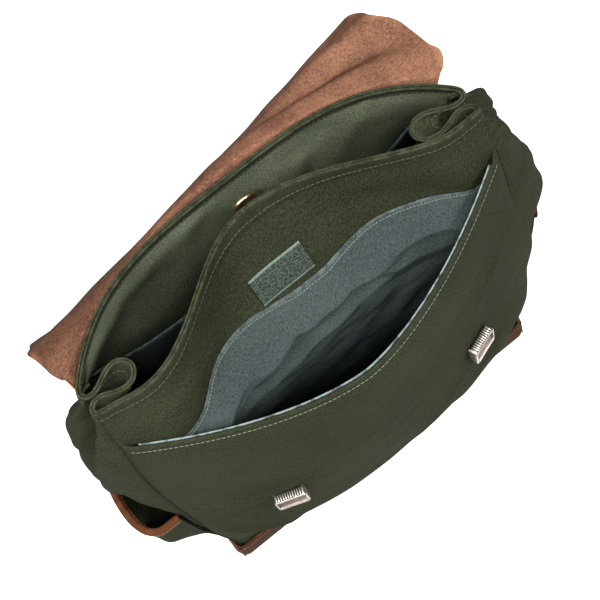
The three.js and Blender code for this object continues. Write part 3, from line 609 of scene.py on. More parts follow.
def seam_roll(distance):
    """How far an edge turns in at its seam, at a distance from it."""
    t = np.clip(1 - distance / ROLL.width, 0, 1)
    return ROLL.depth * (1 - np.sqrt(np.maximum(0, 1 - t ** 2)))


def across_places(count):
    """Places across a wall that lie closer together at its seams."""
    t = np.linspace(-1, 1, count)
    return np.sin(t * math.pi / 2) * 0.35 + t * 0.65


a, z = np.meshgrid(across_places(131), two_runs((CLOTH_BOTTOM_Z, 330, 60), (335, WALL_TOP_Z, 24)))
points = back_wall(a, z)
x, inset = points[..., 0], (1 - np.abs(a)) * BACK_HALF
fade_out = smoothstep(0, 25, inset) * smoothstep(RIM_Z, RIM_Z - 30, z)
points = pushed(points, rumple(x, z, (11, 1.2, 120), (12, 0.35, 34)) * fade_out
                + crease(x, z, BACK_FOLDS) * smoothstep(0, 30, inset))
points[..., 1] -= seam_roll(inset)
# The back wall's inner face takes the lighter canvas: painted light on the inside of the bag
shell("back_wall", points, CANVAS / 2, [painted_light_canvas, canvas, canvas], "canvas", "back_panel")

points = divider_wall(a, z)
x = points[..., 0]
points = pushed(points, (rumple(x, z, (21, 0.9, 90), (22, 0.3, 30)) + crease(x, z, DIVIDER_FOLDS)) * fade_out)
shell("divider_wall", points, CANVAS / 2, canvas, "canvas", "divider_panel")

# Pocket front, with rows closer together near its rim and with dents that stay clear of the lining
POCKET_STITCH = 5.5
POCKET_ROW_Z = np.append(np.linspace(CLOTH_BOTTOM_Z, POCKET_ROW_TOP_Z - 12, 150),
                         POCKET_ROW_TOP_Z - np.array([9.5, 7.5, POCKET_STITCH, 3.5, 2, 1, 0.4, 0]))
a, z = np.meshgrid(across_places(141), POCKET_ROW_Z)
points = pocket_front(a, z)
points[..., 0] += seam_drift(a, points[..., 2])
x, inset = points[..., 0], (1 - np.abs(a)) * POCKET_HALF
still = smoothstep(POCKET_ROW_TOP_Z, POCKET_ROW_TOP_Z - 25, z)
relief = rumple(x, z, (31, 0.9, 110), (32, 0.35, 32)) * still + crease(x, z, POCKET_FOLDS)
room = (divider_wall(a, points[..., 2]) - points)[..., 1]
relief = np.where(relief < 0, relief * smoothstep(7, 14, room), relief)
points = pushed(points, relief * smoothstep(30, 60, z) * smoothstep(0, 18, inset))
points[..., 1] += seam_roll(inset)
half = CANVAS / 2 + 0.2 * smoothstep(POCKET_ROW_TOP_Z - 7, POCKET_ROW_TOP_Z - POCKET_STITCH, z)
shell("pocket_front", points, half, canvas, "canvas", "front_pocket_panel",
      wear=0.1 * smoothstep(POCKET_ROW_TOP_Z - 3, POCKET_ROW_TOP_Z, z))
rim_row = int(np.argmin(np.abs(POCKET_ROW_Z - (POCKET_ROW_TOP_Z - POCKET_STITCH))))
rim_out = normals(points)[rim_row, 3:-3]
rim_line = points[rim_row, 3:-3] + rim_out * half[rim_row, 3:-3, None]


def eased(points, reach):
    """A grid of points with its small kinks evened out, by a bell-shaped mean along its rows and columns."""
    steps = np.arange(-3 * reach, 3 * reach + 1)
    weights = np.exp(-0.5 * (steps / reach) ** 2)
    for axis in (0, 1):
        pad = [(0, 0)] * 3
        pad[axis] = (3 * reach, 3 * reach)
        wide, count = np.pad(points, pad, mode="edge"), points.shape[axis]
        points = sum(w * np.take(wide, range(k, k + count), axis) for k, w in enumerate(weights / weights.sum()))
    return points


# Gussets, whose places around run from 0 at the back seam to 100 at the front one
for name, side in SIDES.items():
    around, z = np.meshgrid(np.linspace(0, 1, 91), two_runs((CLOTH_BOTTOM_Z, 300, 54), (304, WALL_TOP_Z, 40)))
    points = gusset_wall(name, around, z)
    swell(points, side, around, z)
    place = around * 100
    inset = np.minimum(place, 100 - place)
    ease = smoothstep(0, 8, inset) * smoothstep(RIM_Z - 10, RIM_Z - 26, z) * smoothstep(200, 240, z)
    points = mix(points, eased(points, 3), ease[..., None])
    free = smoothstep(0, 12, inset) * smoothstep(RIM_Z - 4, RIM_Z - 24, z) * smoothstep(30, 60, z)
    flip = -side.sign
    relief = rumple(place, z, (41 + flip, 0.9, 60), (45 + flip, 0.35, 22)) + crease(place, z, GUSSET_FOLDS)
    points = pushed(points, flip * relief * free)
    points[..., 0] -= side.sign * seam_roll(inset)
    shell(f"{name}_gusset_cloth", points, CANVAS / 2, canvas, "canvas", f"{name}_gusset")


# One hem runs round the whole rim: back, right fold, divider, left fold
def rim_loop(z):
    wide, narrow = np.full(150, float(z)), np.full(100, float(z))
    loop = np.vstack([
        back_wall(np.linspace(-1, 1, 150, endpoint=False), wide),
        gusset_wall("right", np.linspace(0, 1, 100, endpoint=False), narrow),
        divider_wall(np.linspace(1, -1, 150, endpoint=False), wide),
        gusset_wall("left", np.linspace(1, 0, 100, endpoint=False), narrow),
    ])
    kernel = np.exp(-0.5 * (np.arange(-6, 7) / 2.0) ** 2)
    return sum(w * np.roll(loop, k - 6, axis=0) for k, w in enumerate(kernel / kernel.sum()))


heights = RIM_Z - np.array([HEM.height, 10.2, 9, HEM.stitch, 6, 4.5, 3, 1.8, 0.8, 0])
points = np.stack([rim_loop(h) for h in heights])
half = np.where(heights < RIM_Z - 10.5, CANVAS / 2 + 0.15, HEM.half)[:, None]
shell("rim_hem", points, half, canvas, "canvas", lip="double", closed=True,
      wear=0.35 * smoothstep(RIM_Z - 2.5, RIM_Z, heights)[:, None])
row = int(np.argmin(np.abs(heights - (RIM_Z - HEM.stitch))))
out = normals(points, True)[row]
for label, sign in (("inner", 1), ("outer", -1)):
    sew(f"hem_stitching_{label}", "canvas", points[row] + sign * out * HEM.half, sign * out, olive_thread, closed=True)
sew("pocket_rim_stitching", "canvas", rim_line, rim_out, pale_thread)

# The pocket's lining in two sheets. The rear one's upper edge and ledge are heights over x
POCKET_LINING = Sizes(across=0.93, standoff=5.2, apart=1.0, seam_rise=30, bottom_z=66, edge_gap=2.0, half=153,
                      above_rim=0.9, shelf=15, shelf_below=0.25, clear=1.8)
LINING_TOP = np.array([(-140, 333), (-111, 338), (-97, 340), (-82, 346.5), (-70, 348), (-54, 346), (-37, 343),
                       (-23, 339.5), (2, 336.5), (17, 336.5), (35, 340.5), (52, 344.5), (67, 346.5), (99, 346),
                       (115, 343), (132, 336), (140, 330)], float)
LINING_LEDGE = np.array([(-140, 318), (-112, 318), (-84, 330), (-65, 330), (-45, 326), (-23, 324), (-7, 327),
                         (9, 326), (31, 327), (57, 332), (73, 334), (88, 334), (110, 328), (140, 316)], float)
LINING_FOLDS = ((-104, 322, 8, 330, 3.2, 2.8), (-92, 306, 30, 318, 4, -2.8), (20, 332, 118, 318, 2.8, 2.4),
                (26, 325, 124, 306, 2.8, -2.6), (34, 317, 124, 294, 3.6, 2.8), (-112, 330, -60, 296, 4, -2.4),
                (-70, 288, 60, 304, 5, 3.2), (20, 300, 120, 268, 5, -2.4), (-60, 338, -10, 322, 3, -1.8),
                (-30, 334, 60, 338, 2.6, 1.6), (60, 340, 126, 332, 2.4, -1.6))


def lining_sheet(across, share, top, facing):
    """The sheet at the divider, facing 1, or at the pocket's front, facing -1."""
    z = mix(POCKET_LINING.bottom_z, top, share)
    rear, fore = divider_wall(across, z), pocket_wall(across, z)
    middle = (rear[..., 1] + fore[..., 1]) / 2
    sheet = rear if facing > 0 else fore
    wall = sheet[..., 1].copy()
    free = np.maximum(facing * (wall - middle) - POCKET_LINING.standoff, POCKET_LINING.apart)
    rise = smoothstep(0, POCKET_LINING.seam_rise, z - POCKET_LINING.bottom_z)
    hung = middle + facing * mix(POCKET_LINING.apart, free, rise)
    sheet[..., 1] = mix(wall - facing * POCKET_LINING.edge_gap, hung, smoothstep(0, 16, top - z))
    return sheet


u, v = np.meshgrid(np.linspace(-1, 1, 121), two_runs((0, 0.7, 40), (0.705, 1, 76)))
across = POCKET_LINING.across * u
fore_top = pocket_rim_z(across) + POCKET_LINING.above_rim
top = monotone(LINING_TOP, 1, across * POCKET_LINING.half)
points = lining_sheet(across, v, top, 1)
x, z = points[..., 0], points[..., 2]
drop, ledge = top - z, monotone(LINING_LEDGE, 1, x)
shelf = (POCKET_LINING.shelf * smoothstep(0, 1, drop / np.maximum(6, top - ledge))
         * mix(1, POCKET_LINING.shelf_below, smoothstep(-2, 14, ledge - z)) * smoothstep(190, 60, drop))
relief = crease(x, z, LINING_FOLDS) + rumple(0.5 * x, drop, (51, 0.7, 30), (52, 0.35, 13))
points[..., 1] -= smoothstep(1, 0.72, np.abs(u)) * (shelf + 1.5 * smoothstep(0.5, 6, drop) * relief)
fore_share = (z - POCKET_LINING.bottom_z) / (fore_top - POCKET_LINING.bottom_z)
fore_y = lining_sheet(across, fore_share, fore_top, -1)[..., 1]
points[..., 1] = np.maximum(points[..., 1], fore_y + POCKET_LINING.clear)
shell("pocket_lining_rear", points, LINING / 2, lining, "lining", "pocket_lining_back",
      wear=0.3 * smoothstep(2.2, 0.4, drop))
out = normals(points)[-3, 2:-2]
sew("lining_edge_stitching", "lining", points[-3, 2:-2] + out * LINING / 2, out, pale_thread, pitch=2.4)

u, v = np.meshgrid(np.linspace(-1, 1, 121), two_runs((0, 0.9, 60), (0.91, 1, 16)))
across = POCKET_LINING.across * u
top = pocket_rim_z(across) + POCKET_LINING.above_rim
points = lining_sheet(across, v, top, -1)
drop = top - points[..., 2]
slack = smoothstep(4, 24, drop) * smoothstep(1, 0.72, np.abs(u))
points[..., 1] += slack * 0.9 * waves(55, points[..., 0], drop, 45)
shell("pocket_lining_fore", points, LINING / 2, lining, "lining", "pocket_lining_front",
      wear=2 * smoothstep(1.7, 0.7, drop))

# Laptop sleeve in front of the back wall
SLEEVE = Sizes(half=141, top_z=310, bottom_z=4, top_y=31, bottom_y=40, sag=3, standoff=3, join=8, hem=0.4)
u, v = np.meshgrid(np.linspace(-1, 1, 91), np.linspace(0, 1, 60))
z = mix(SLEEVE.bottom_z, SLEEVE.top_z - SLEEVE.sag * (1 - u ** 2), v)
x = SLEEVE.half * u
free_y = mix(SLEEVE.bottom_y, SLEEVE.top_y, v)
sewn_y = back_wall(x / sections(z).seam_x, z)[..., 1] - SLEEVE.standoff
points = np.stack([x, mix(free_y, np.maximum(free_y, sewn_y), u ** SLEEVE.join), z], -1)
points[..., 1] += smoothstep(0, 20, SLEEVE.top_z - z) * (1 - u ** SLEEVE.join) * 1.2 * waves(61, x, z, 80)
shell("sleeve_cloth", points, LINING / 2 + SLEEVE.hem * smoothstep(SLEEVE.top_z - 16, SLEEVE.top_z - 14, z), lining,
      "lining", "laptop_sleeve", wear=0.5 * smoothstep(SLEEVE.top_z - 6, SLEEVE.top_z - 1, z))

# Hook-and-loop patch, stitched down round its border; the divider leans, so its height on it is longer
PATCH = Sizes(x=-5, width=42, bottom_z=342, top_z=362, thickness=1.6, gap=0.5, lean=1.4, thin=0.35)
u, v = np.meshgrid(np.linspace(0, 1, 61), np.linspace(0, 1, 41))
z = mix(PATCH.bottom_z, PATCH.top_z, v)
points = divider_wall((PATCH.x + (u - 0.5) * PATCH.width) / sections(z).seam_x, z)
points = pushed(points, np.full(u.shape, CANVAS / 2 + PATCH.gap + PATCH.thickness / 2))
selvedge = np.minimum(v, 1 - v) * (PATCH.top_z - PATCH.bottom_z) * PATCH.lean
edge = np.minimum(np.minimum(u, 1 - u) * PATCH.width, selvedge)
half = PATCH.thickness / 2 * mix(PATCH.thin, 1, smoothstep(1.2, 3.4, edge))
shell("tape_patch", points, half, pile, "hook_tape", "hook_and_loop_patch", lip="flat",
      wear=0.9 * smoothstep(2.2, 1.2, selvedge))
out = normals(points)
top = points + out * half[..., None]
ring, ring_out = (np.vstack([g[3, 3:-3], g[3:-3, -4], g[-4, -4:2:-1], g[-4:2:-1, 3]]) for g in (top, out))
sew("patch_stitching", "hook_tape", ring, ring_out, olive_thread, pitch=2.6, closed=True)


# Magnetic snap: turned pieces of radius and height, from the middle of one face to the middle of the other
def lathe(name, profile, origin, axis, material, steps=48):
    axis = unit(np.asarray(axis, float))
    side = unit(np.cross(axis, (0.0, 0.0, 1.0) if abs(axis[2]) < 0.9 else (1.0, 0.0, 0.0)))
    other = np.cross(axis, side)
    angles = np.arange(steps) * 2 * math.pi / steps
    points = [origin + axis * h + r * (math.cos(t) * side + math.sin(t) * other) for r, h in profile for t in angles]
    return make_object(name, points, ring_faces(len(profile), steps), [material])


SNAP = Sizes(x=8, socket_z=336, stud_z=352, socket_off=2.4, stud_off=3.2)
SOCKET_PROFILE = ((0.01, -2), (8.6, -2), (9, -1.6), (9, -0.4), (8.4, 0.6), (7.2, 1.1), (6.4, 1.0), (5.9, 0.4),
                  (5.2, 0.3), (3.4, 0.3), (3.0, -0.4), (0.01, -0.4))
STUD_PROFILE = ((0.01, -2), (8.6, -2), (9, -1.6), (8.8, -0.6), (7.6, 0.3), (5.4, 0.6), (3.4, 0.7), (3.0, 1.6),
                (2.4, 2.0), (0.01, 2.0))
NEAR = np.array([-0.5, 0, 0.5])


def wall_place(wall, x, z):
    """A point on a wall and the wall's normal there."""
    zs, xs = np.meshgrid(z + NEAR, x + NEAR, indexing="ij")
    grid = wall(xs / sections(zs).seam_x, zs)
    return grid[1, 1], normals(grid)[1, 1]


point, out = wall_place(back_wall, SNAP.x, SNAP.socket_z)
settle(lathe("snap_ring", SOCKET_PROFILE, point + out * (CANVAS / 2 + SNAP.socket_off), out, brass),
       "brass", "snap_socket")
point, out = wall_place(divider_wall, SNAP.x, SNAP.stud_z)
settle(lathe("snap_pin", STUD_PROFILE, point - out * (CANVAS / 2 + SNAP.stud_off), -out, brass), "brass", "snap_stud")

# Leather base, as rings of a height, a distance out from the walls and a corner radius
BASE = Sizes(floor=2.6, inner=CANVAS / 2 + 0.4, outer=CANVAS / 2 + 0.4 + LEATHER, corner=8, stitch_z=25.5,
             outer_rings=8)
BASE_PROFILE = ((0.0, BASE.outer - 3.2, 6), (0.25, BASE.outer - 1.6, 6.8), (0.9, BASE.outer - 0.6, 7.4),
                (2.2, BASE.outer, 8), (8, BASE.outer + 0.5, 8), (16, BASE.outer + 0.7, 8), (23, BASE.outer + 0.4, 8),
                (28.6, BASE.outer, 8), (29.6, BASE.outer - 0.3, 7.8), (30, BASE.outer - 1.2, 7),
                (29.8, BASE.inner + 0.2, 5), (28, BASE.inner, 4), (BASE.floor, BASE.inner, 3))


def base_ring(z, out, radius, per_corner=8, per_side=(44, 18)):
    s = sections(np.array([min(z, float(BASE_TOP_Z))]))
    x, front, back = s.seam_x[0] + out, s.front_y[0] - POCKET_STEP - out, s.back_y[0] + out
    corners = [(sx * (x - radius), y) for sx, y in ((1, front + radius), (1, back - radius), (-1, back - radius),
                                                    (-1, front + radius))]
    ring = []
    for k, (cx, cy) in enumerate(corners):
        turn = (k - 1 + np.linspace(0, 1, per_corner)) * math.pi / 2
        ring.append(np.stack([cx + radius * np.cos(turn), cy + radius * np.sin(turn)], 1))
        nx, ny = corners[(k + 1) % 4]
        end = np.array([nx + radius * math.cos(turn[-1]), ny + radius * math.sin(turn[-1])])
        ring.append(mix(ring[-1][-1], end, np.linspace(0, 1, per_side[(k + 1) % 2] + 2)[1:-1, None]))
    flat = np.vstack(ring)
    return np.column_stack([flat, np.full(len(flat), z)])


rings = [base_ring(*ring) for ring in BASE_PROFILE]
count, points = len(rings[0]), np.vstack(rings)
x, y, z = points.T.copy()
dented = smoothstep(3, 12, z) * (np.arange(len(points)) < count * BASE.outer_rings)
points[:, :2] += unit(points[:, :2]) * (0.5 * waves(71, x, y + 3 * z, 38) * dented)[:, None]
worn = 0.5 * smoothstep(29, 30, z) + 0.3 * smoothstep(1.2, 0.2, z)
worn = worn * smoothstep(-0.6, 0.8, waves(72, points[:, 0], points[:, 1], 30))
settle(make_object("boot", points, capped(len(rings), count), [leather], wear=worn), "leather", "base")
ring = base_ring(BASE.stitch_z, BASE.outer + 0.25, BASE.corner)
sew("boot_stitching", "leather", ring, unit(ring * (1, 1, 0)), brown_thread, closed=True)
# Its corner seams
heights = np.linspace(1.5, 29, 24)
s, turn = sections(heights), math.sqrt(0.5)
for corner, sx, sy in (("front_left", -1, -1), ("front_right", 1, -1), ("back_left", -1, 1), ("back_right", 1, 1)):
    y_side = s.back_y + BASE.outer if sy > 0 else s.front_y - POCKET_STEP - BASE.outer
    path = np.stack([sx * (s.seam_x + BASE.outer - BASE.corner * (1 - turn)), y_side - sy * BASE.corner * (1 - turn),
                     heights], 1)
    facing, beside = np.array([sx * turn, sy * turn, 0.0]), np.array([-sy * turn, sx * turn, 0.0])
    rows = np.stack([path + facing * (0.75 * math.sin(t) + 0.2) + beside * 1.1 * math.cos(t)
                     for t in np.linspace(0, math.pi, 9)])
    shell(f"boot_seam_{corner}", rows, 0.2, leather, "leather", lip="flat")
    sew(f"boot_corner_stitching_{corner}", "leather", path + facing * 0.95, np.repeat(facing[None], len(path), 0),
        brown_thread, pitch=3.0)

# Side pockets with their bound mouths
POCKET = Sizes(start=0.06, top_z=170, bottom_z=33, gape_power=1.2, gap=0.8)
BELLY = Sizes(u=0.86, wide=0.16, z=122, tall=42)
BINDING = Sizes(wall=1.4, drop=5.2, play=0.15)
SIDE_POCKET_FOLDS = ((70, 150, 40, 70, 8, -1.6), (88, 120, 60, 50, 7, 1.4), (30, 140, 50, 60, 9, 1.2))
inner = CANVAS / 2 + BINDING.play
outer = inner + BINDING.wall
binding_leg = ((inner + 0.1, -BINDING.drop), (outer, -BINDING.drop + 0.5), (outer, -3), (outer, -0.5))
binding_section = ([(-sideways, upward) for sideways, upward in binding_leg]
                   + [(-outer * math.cos(t), outer * 0.8 * math.sin(t)) for t in np.linspace(0.15, math.pi - 0.15, 7)]
                   + list(binding_leg[::-1]))
u, v = np.meshgrid(np.linspace(0, 1, 81), np.linspace(0, 1, 61))
for name, side in SIDES.items():
    around, z = mix(POCKET.start, side.pocket_end, u), mix(POCKET.bottom_z, POCKET.top_z, v)
    points = gusset_wall(name, around, z)
    out = normals(points) * -side.sign
    out[..., 2] = 0
    out = unit(out)
    swell(points, side, around, z)
    ends = smoothstep(0, 0.1, u) * smoothstep(1, 0.9, u)
    standoff = CANVAS + POCKET.gap + side.stand * v * ends
    standoff += side.belly * ends * np.exp(-((u - BELLY.u) / BELLY.wide) ** 2 - ((z - BELLY.z) / BELLY.tall) ** 2)
    standoff += side.gape * v ** POCKET.gape_power * np.sin(math.pi * u ** side.gape_skew)
    free = smoothstep(0, 0.12, u) * smoothstep(1, 0.88, u) * smoothstep(1, 0.85, v) * smoothstep(0, 0.2, v)
    relief = 0.7 * waves(81 + side.sign, u * 100, z, 40) + crease(u * 100, z, SIDE_POCKET_FOLDS)
    points = points + out * (standoff + relief * free)[..., None]
    shell(f"{name}_side_pocket_cloth", points, CANVAS / 2, canvas, "canvas", f"{name}_side_pocket")
    rim, rim_out, rise = points[-1], normals(points)[-1], unit(points[-1] - points[-4])
    grid = np.stack([rim + rim_out * sideways + rise * upward for sideways, upward in binding_section])
    shell(f"{name}_binding", grid, 0.3, binding_leather, "leather", f"{name}_side_binding", lip="flat",
          wear=0.35 * np.abs(waves(85, u[0] * 100, 0 * u[0], 14))[None])
    for label, sign in (("outer", 1), ("inner", -1)):
        line = rim + sign * rim_out * (outer + 0.3) - rise * (BINDING.drop - 1.8)
        sew(f"{name}_binding_stitching_{label}", "leather", line, sign * rim_out, brown_thread)

# Flap, thrown back over the rim and hanging behind the bag
FLAP = Sizes(length=330, corner=45, corner_share=0.3, root_z=364, sewn=33, bow_power=1.7, spread=1.25, half=150,
             standoff=(CANVAS + LEATHER) / 2 + 0.8, left_lift=11, end_tuck=8, right_pull=7)
FLAP_COLUMNS = ("along", "x", "half", "y", "z", "twist_y", "twist_z", "bow_y", "bow_z", "on_wall")
FLAP_ROWS = np.array([
    (0, -5, 144, 60, 364, 0, 0, -40, 0, 1),
    (18, -5, 144, 61, 382, 0, 0, -40, 0, 1),
    (33, -1, 151, 66, 392, 3, 1, -33, 0, 0.2),
    (46, 3, 160, 71, 388, 7, 2, -29, 3, 0),
    (62, 0, 161, 76, 375, 14, 5, -19, 8, 0),
    (80, -9, 154, 81, 358, 20, 13, -12, 17, 0),
    (100, -15, 147, 86, 338, 22, 16, -7, 22, 0),
    (130, -16, 145, 92, 308, 18, 16, -4, 22, 0),
    (200, -16, 147, 96, 238, 11, 16, -3, 22, 0),
    (330, -18, 150, 95, 108, 7, 16, -3, 22, 0),
], float)
FLAP_FOLDS = ((40, 62, 150, 54, 7, -4.5), (70, 78, 158, 72, 8, 2.5), (-150, 70, -60, 78, 12, 1.4),
              (-120, 120, 40, 150, 22, 2.4), (-60, 190, 130, 214, 26, -2.2), (-140, 250, 60, 270, 24, 1.8))


def flap_point(across, along):
    row = Sizes(**{name: monotone(FLAP_ROWS, k, along) for k, name in enumerate(FLAP_COLUMNS)})
    bow = np.abs(across) ** FLAP.bow_power
    x = row.x + row.half * across
    free = surface(x, row.y + row.twist_y * across + row.bow_y * bow, row.z + row.twist_z * across + row.bow_z * bow)
    sewn_z = FLAP.root_z + np.minimum(along, FLAP.sewn)
    seam_x = sections(sewn_z).seam_x
    place = np.clip(x / seam_x, -1, 1)
    step = 0.01
    tangent_x = back_wall(np.clip(place + step, -1, 1), sewn_z) - back_wall(np.clip(place - step, -1, 1), sewn_z)
    tangent_z = back_wall(place, sewn_z + 0.5) - back_wall(place, sewn_z - 0.5)
    sewn = back_wall(place, sewn_z) + unit(np.cross(tangent_z, tangent_x)) * FLAP.standoff
    sewn[..., 0] += x - place * seam_x
    return mix(free, sewn, row.on_wall[..., None])


u, v = np.meshgrid(across_places(161), np.linspace(0, 1, 151) ** FLAP.spread)
past = np.maximum(0, np.abs(u) - 1 + FLAP.corner_share) / FLAP.corner_share
flap_end = FLAP.length - FLAP.corner * (1 - np.sqrt(1 - (0.995 * past) ** 2))
v = v * flap_end
points = flap_point(u, v)
points[..., 1] += FLAP.left_lift * np.maximum(0, -u) ** 3 * smoothstep(36, 66, v) * smoothstep(190, 110, v)
points[..., 1] -= FLAP.end_tuck * np.abs(u) ** 6 * smoothstep(26, 37, v) * smoothstep(72, 46, v)
points[..., 0] -= FLAP.right_pull * np.maximum(0, u) ** 4 * smoothstep(38, 50, v) * smoothstep(94, 70, v)
x = points[..., 0]
relief = rumple(x, v, (91, 1.0, 130), (92, 0.4, 44)) + crease(x, v, FLAP_FOLDS)
points = pushed(points, smoothstep(36, 60, v) * relief)
edge = np.minimum((1 - np.abs(u)) * FLAP.half, flap_end - v)
shell("flap_leather", points, LEATHER / 2 * mix(0.72, 1, smoothstep(0, 1.5, edge)), [flesh, leather, cut_edge],
      "flesh_leather", "flap", lip="flat",
      wear=0.5 * smoothstep(5, 0.5, edge) * smoothstep(-0.4, 0.7, waves(93, x, v, 24)))

# Closing tabs on the flap's grain side, and shoulder straps
TAB = Sizes(place=0.58, share=0.2, length=90, past=50, thickness=2.4, gap=0.8, tip=0.55, width=30)
STRAP = Sizes(width=38, thickness=4, top_x=48, bottom_x=112, top_z=344, bottom_z=48, bow=9, bow_power=0.8, gap=1.2)


def sew_edges(name, points, half, facing, columns, rows):
    """Two stitch rows along a band's columns, on the face whose normals are turned by facing."""
    out = facing * normals(points)
    for label, column in zip("ab", columns):
        line = (points + out * half)[rows, column]
        sew(f"{name}_stitching_{label}", "leather", line, out[rows, column], brown_thread)


for name, side in SIDES.items():
    w, t = np.meshgrid(np.linspace(-0.5, 0.5, 21), np.linspace(0, 1, 61))
    along = FLAP.length + TAB.past - TAB.length * t
    hold = np.minimum(along, FLAP.length)
    share = TAB.share * mix(TAB.tip, 1, np.sqrt(smoothstep(0, 0.16, t)))
    points = flap_point(side.sign * TAB.place + w * share, hold)
    points[..., 1] -= (LEATHER + TAB.thickness) / 2 + TAB.gap
    points[..., 2] += hold - along
    edge = (0.5 - np.abs(w)) * TAB.width
    half = TAB.thickness / 2 * mix(0.7, 1, smoothstep(0, 1.5, edge))
    shell(f"{name}_tab", points, half, [leather, leather, cut_edge], "leather", f"{name}_flap_tab", lip="flat",
          wear=0.4 * smoothstep(2.5, 0.3, edge))
    sew_edges(f"{name}_tab", points, TAB.thickness / 2, -np.sign(normals(points)[30, 10, 1]), (2, -3), slice(3, -2))

    t, w = np.meshgrid(np.linspace(0, 1, 101), np.linspace(-1, 1, 33), indexing="ij")
    down = t[:, 0]
    z = mix(STRAP.top_z, STRAP.bottom_z, down)
    centre = back_wall(side.sign * mix(STRAP.top_x, STRAP.bottom_x, down) / sections(z).seam_x, z)
    bow = STRAP.bow * np.sin(math.pi * down).clip(0) ** STRAP.bow_power
    centre[:, 1] += CANVAS / 2 + STRAP.thickness / 2 + STRAP.gap + bow
    sideways = unit(np.cross(unit(np.gradient(centre, axis=0)), (0.0, 1.0, 0.0)))
    points = centre[:, None] + sideways[:, None] * (w * STRAP.width / 2)[..., None]
    half = STRAP.thickness / 2 * mix(0.62, 1.0, smoothstep(1.0, 0.72, np.abs(w)))
    shell(f"{name}_strap", points, half, leather, "leather", f"{name}_shoulder_strap",
          wear=0.35 * smoothstep(0.93, 1, np.abs(w)))
    sew_edges(f"{name}_strap", points, half[..., None], np.sign(normals(points)[50, 16, 1]), (3, -4), slice(2, -2))

# Tuck locks: a plated frame with ribs on its top wall and its bar, and a ribbed lever hung at its top edge
LOCK = Sizes(x=87, z=184, width=24, height=21, depth=7.5, floor=1, side=1.3, top=1.4, bar=5, standoff=0.8, corner=1.8)
LEVER = Sizes(thickness=1.4, ribs=11, rib_height=0.55, play=0.35, sunk=math.radians(17), axis_inset=1.2, axis_drop=1.4,
              rib=((0.02, 0), (0.1, 0.8), (0.22, 1), (0.38, 1), (0.5, 0.8), (0.58, 0)))
GRIP = Sizes(ribs=12, half=0.48, rise=0.5, margin=2,
             stations=((0.9, 0.05), (1.2, 0.8), (1.7, 1), (LOCK.depth - 1.9, 1), (LOCK.depth - 1.4, 0.8),
                       (LOCK.depth - 1.1, 0.05)))
ROD = Sizes(count=3, half=0.42, rise=0.3, low=1.3, high=0.8)
WINDOW = Sizes(x=LOCK.width / 2 - LOCK.side, top=LOCK.height / 2 - LOCK.top, bottom=-LOCK.height / 2 + LOCK.bar)
OCTAGON = np.arange(8) * math.pi / 4
CORNER_STEPS = 6
RING = 4 * CORNER_STEPS
TOP_WALL_FACE = 11
FRONT_BAND = 4


def rounded_ring(x0, x1, y0, y1, radius, z):
    centres = ((x1 - radius, y0 + radius), (x1 - radius, y1 - radius), (x0 + radius, y1 - radius),
               (x0 + radius, y0 + radius))
    return [(cx + radius * math.cos(t), cy + radius * math.sin(t), z) for k, (cx, cy) in enumerate(centres)
            for t in (k - 1 + np.linspace(0, 1, CORNER_STEPS)) * math.pi / 2]


def lock_frame_mesh():
    """Points, faces and their materials: plated, with painted shade on the top wall and the floor, and satin steel
    painted darker as shade in front.
    """
    half_x, half_y, depth = LOCK.width / 2, LOCK.height / 2, LOCK.depth
    rings = [rounded_ring(-half_x + i, half_x - i, -half_y + i, half_y - i, LOCK.corner - i, z)
             for i, z in ((0, 0), (0, depth - 0.9), (0.12, depth - 0.4), (0.4, depth - 0.1), (0.7, depth))]
    rings += [rounded_ring(-WINDOW.x - i, WINDOW.x + i, WINDOW.bottom - i, WINDOW.top + i, 0.5 + i, z)
              for i, z in ((0.3, depth), (0.08, depth - 0.2), (0, depth - 0.6), (0, LOCK.floor))]
    faces = capped(len(rings), RING)
    # Painted shade: the top wall's outer face and the window's floor take the dark steel
    dark = (TOP_WALL_FACE, len(faces) - 1)
    return sum(rings, []), faces, [1 if i in dark else 2 if i // RING == FRONT_BAND else 0 for i in range(len(faces))]


def grip_mesh():
    points, faces = [], []
    for x in np.linspace(-LOCK.width / 2 + GRIP.margin, LOCK.width / 2 - GRIP.margin, GRIP.ribs):
        faces += ring_faces(len(GRIP.stations), len(OCTAGON), len(points))
        points += [(x + share * GRIP.half * math.cos(t), LOCK.height / 2 + share * GRIP.rise * math.sin(t), depth)
                   for depth, share in GRIP.stations for t in OCTAGON]
    return points, faces


def lever_mesh():
    """The lever about its axis, sunk into the frame, with plated ribs on a plate painted dark as shade."""
    half, axis_y = WINDOW.x - LEVER.play, WINDOW.top - LEVER.axis_inset
    face = LEVER.thickness / 2
    pitch = 2 * half / LEVER.ribs
    ribs = [(half - k * pitch - pitch * s, face + LEVER.rib_height * h)
            for k in range(LEVER.ribs) for s, h in LEVER.rib]
    outline = [(-half, -face), (half, -face)] + ribs + [(-half, face)]
    low, high = -(axis_y - WINDOW.bottom - LEVER.play), LEVER.axis_inset - LEVER.play
    stations = ((high, 0.75), (high - 0.35, 1), (low + 0.5, 1), (low, 0.7))
    points = np.array([(x, y, z * share) for y, share in stations for x, z in outline])
    n = len(outline)
    caps = [tuple(range(n)), tuple(range(len(stations) * n - 1, (len(stations) - 1) * n - 1, -1))]
    faces = ring_faces(len(stations), n) + caps
    on_rib = [2 <= i < n - 1 and (i - 2) % len(LEVER.rib) < len(LEVER.rib) - 1 for i in range(n)]
    # Faces between the ribs and the caps take the dark steel, as painted shade
    kinds = [0 if i < len(faces) - len(caps) and on_rib[i % n] else 1 for i in range(len(faces))]
    cos, sin = math.cos(LEVER.sunk), math.sin(LEVER.sunk)
    tilt = np.array([[1, 0, 0], [0, cos, -sin], [0, sin, cos]])
    return points @ tilt.T + (0, axis_y, LOCK.depth - LEVER.axis_drop), faces, kinds


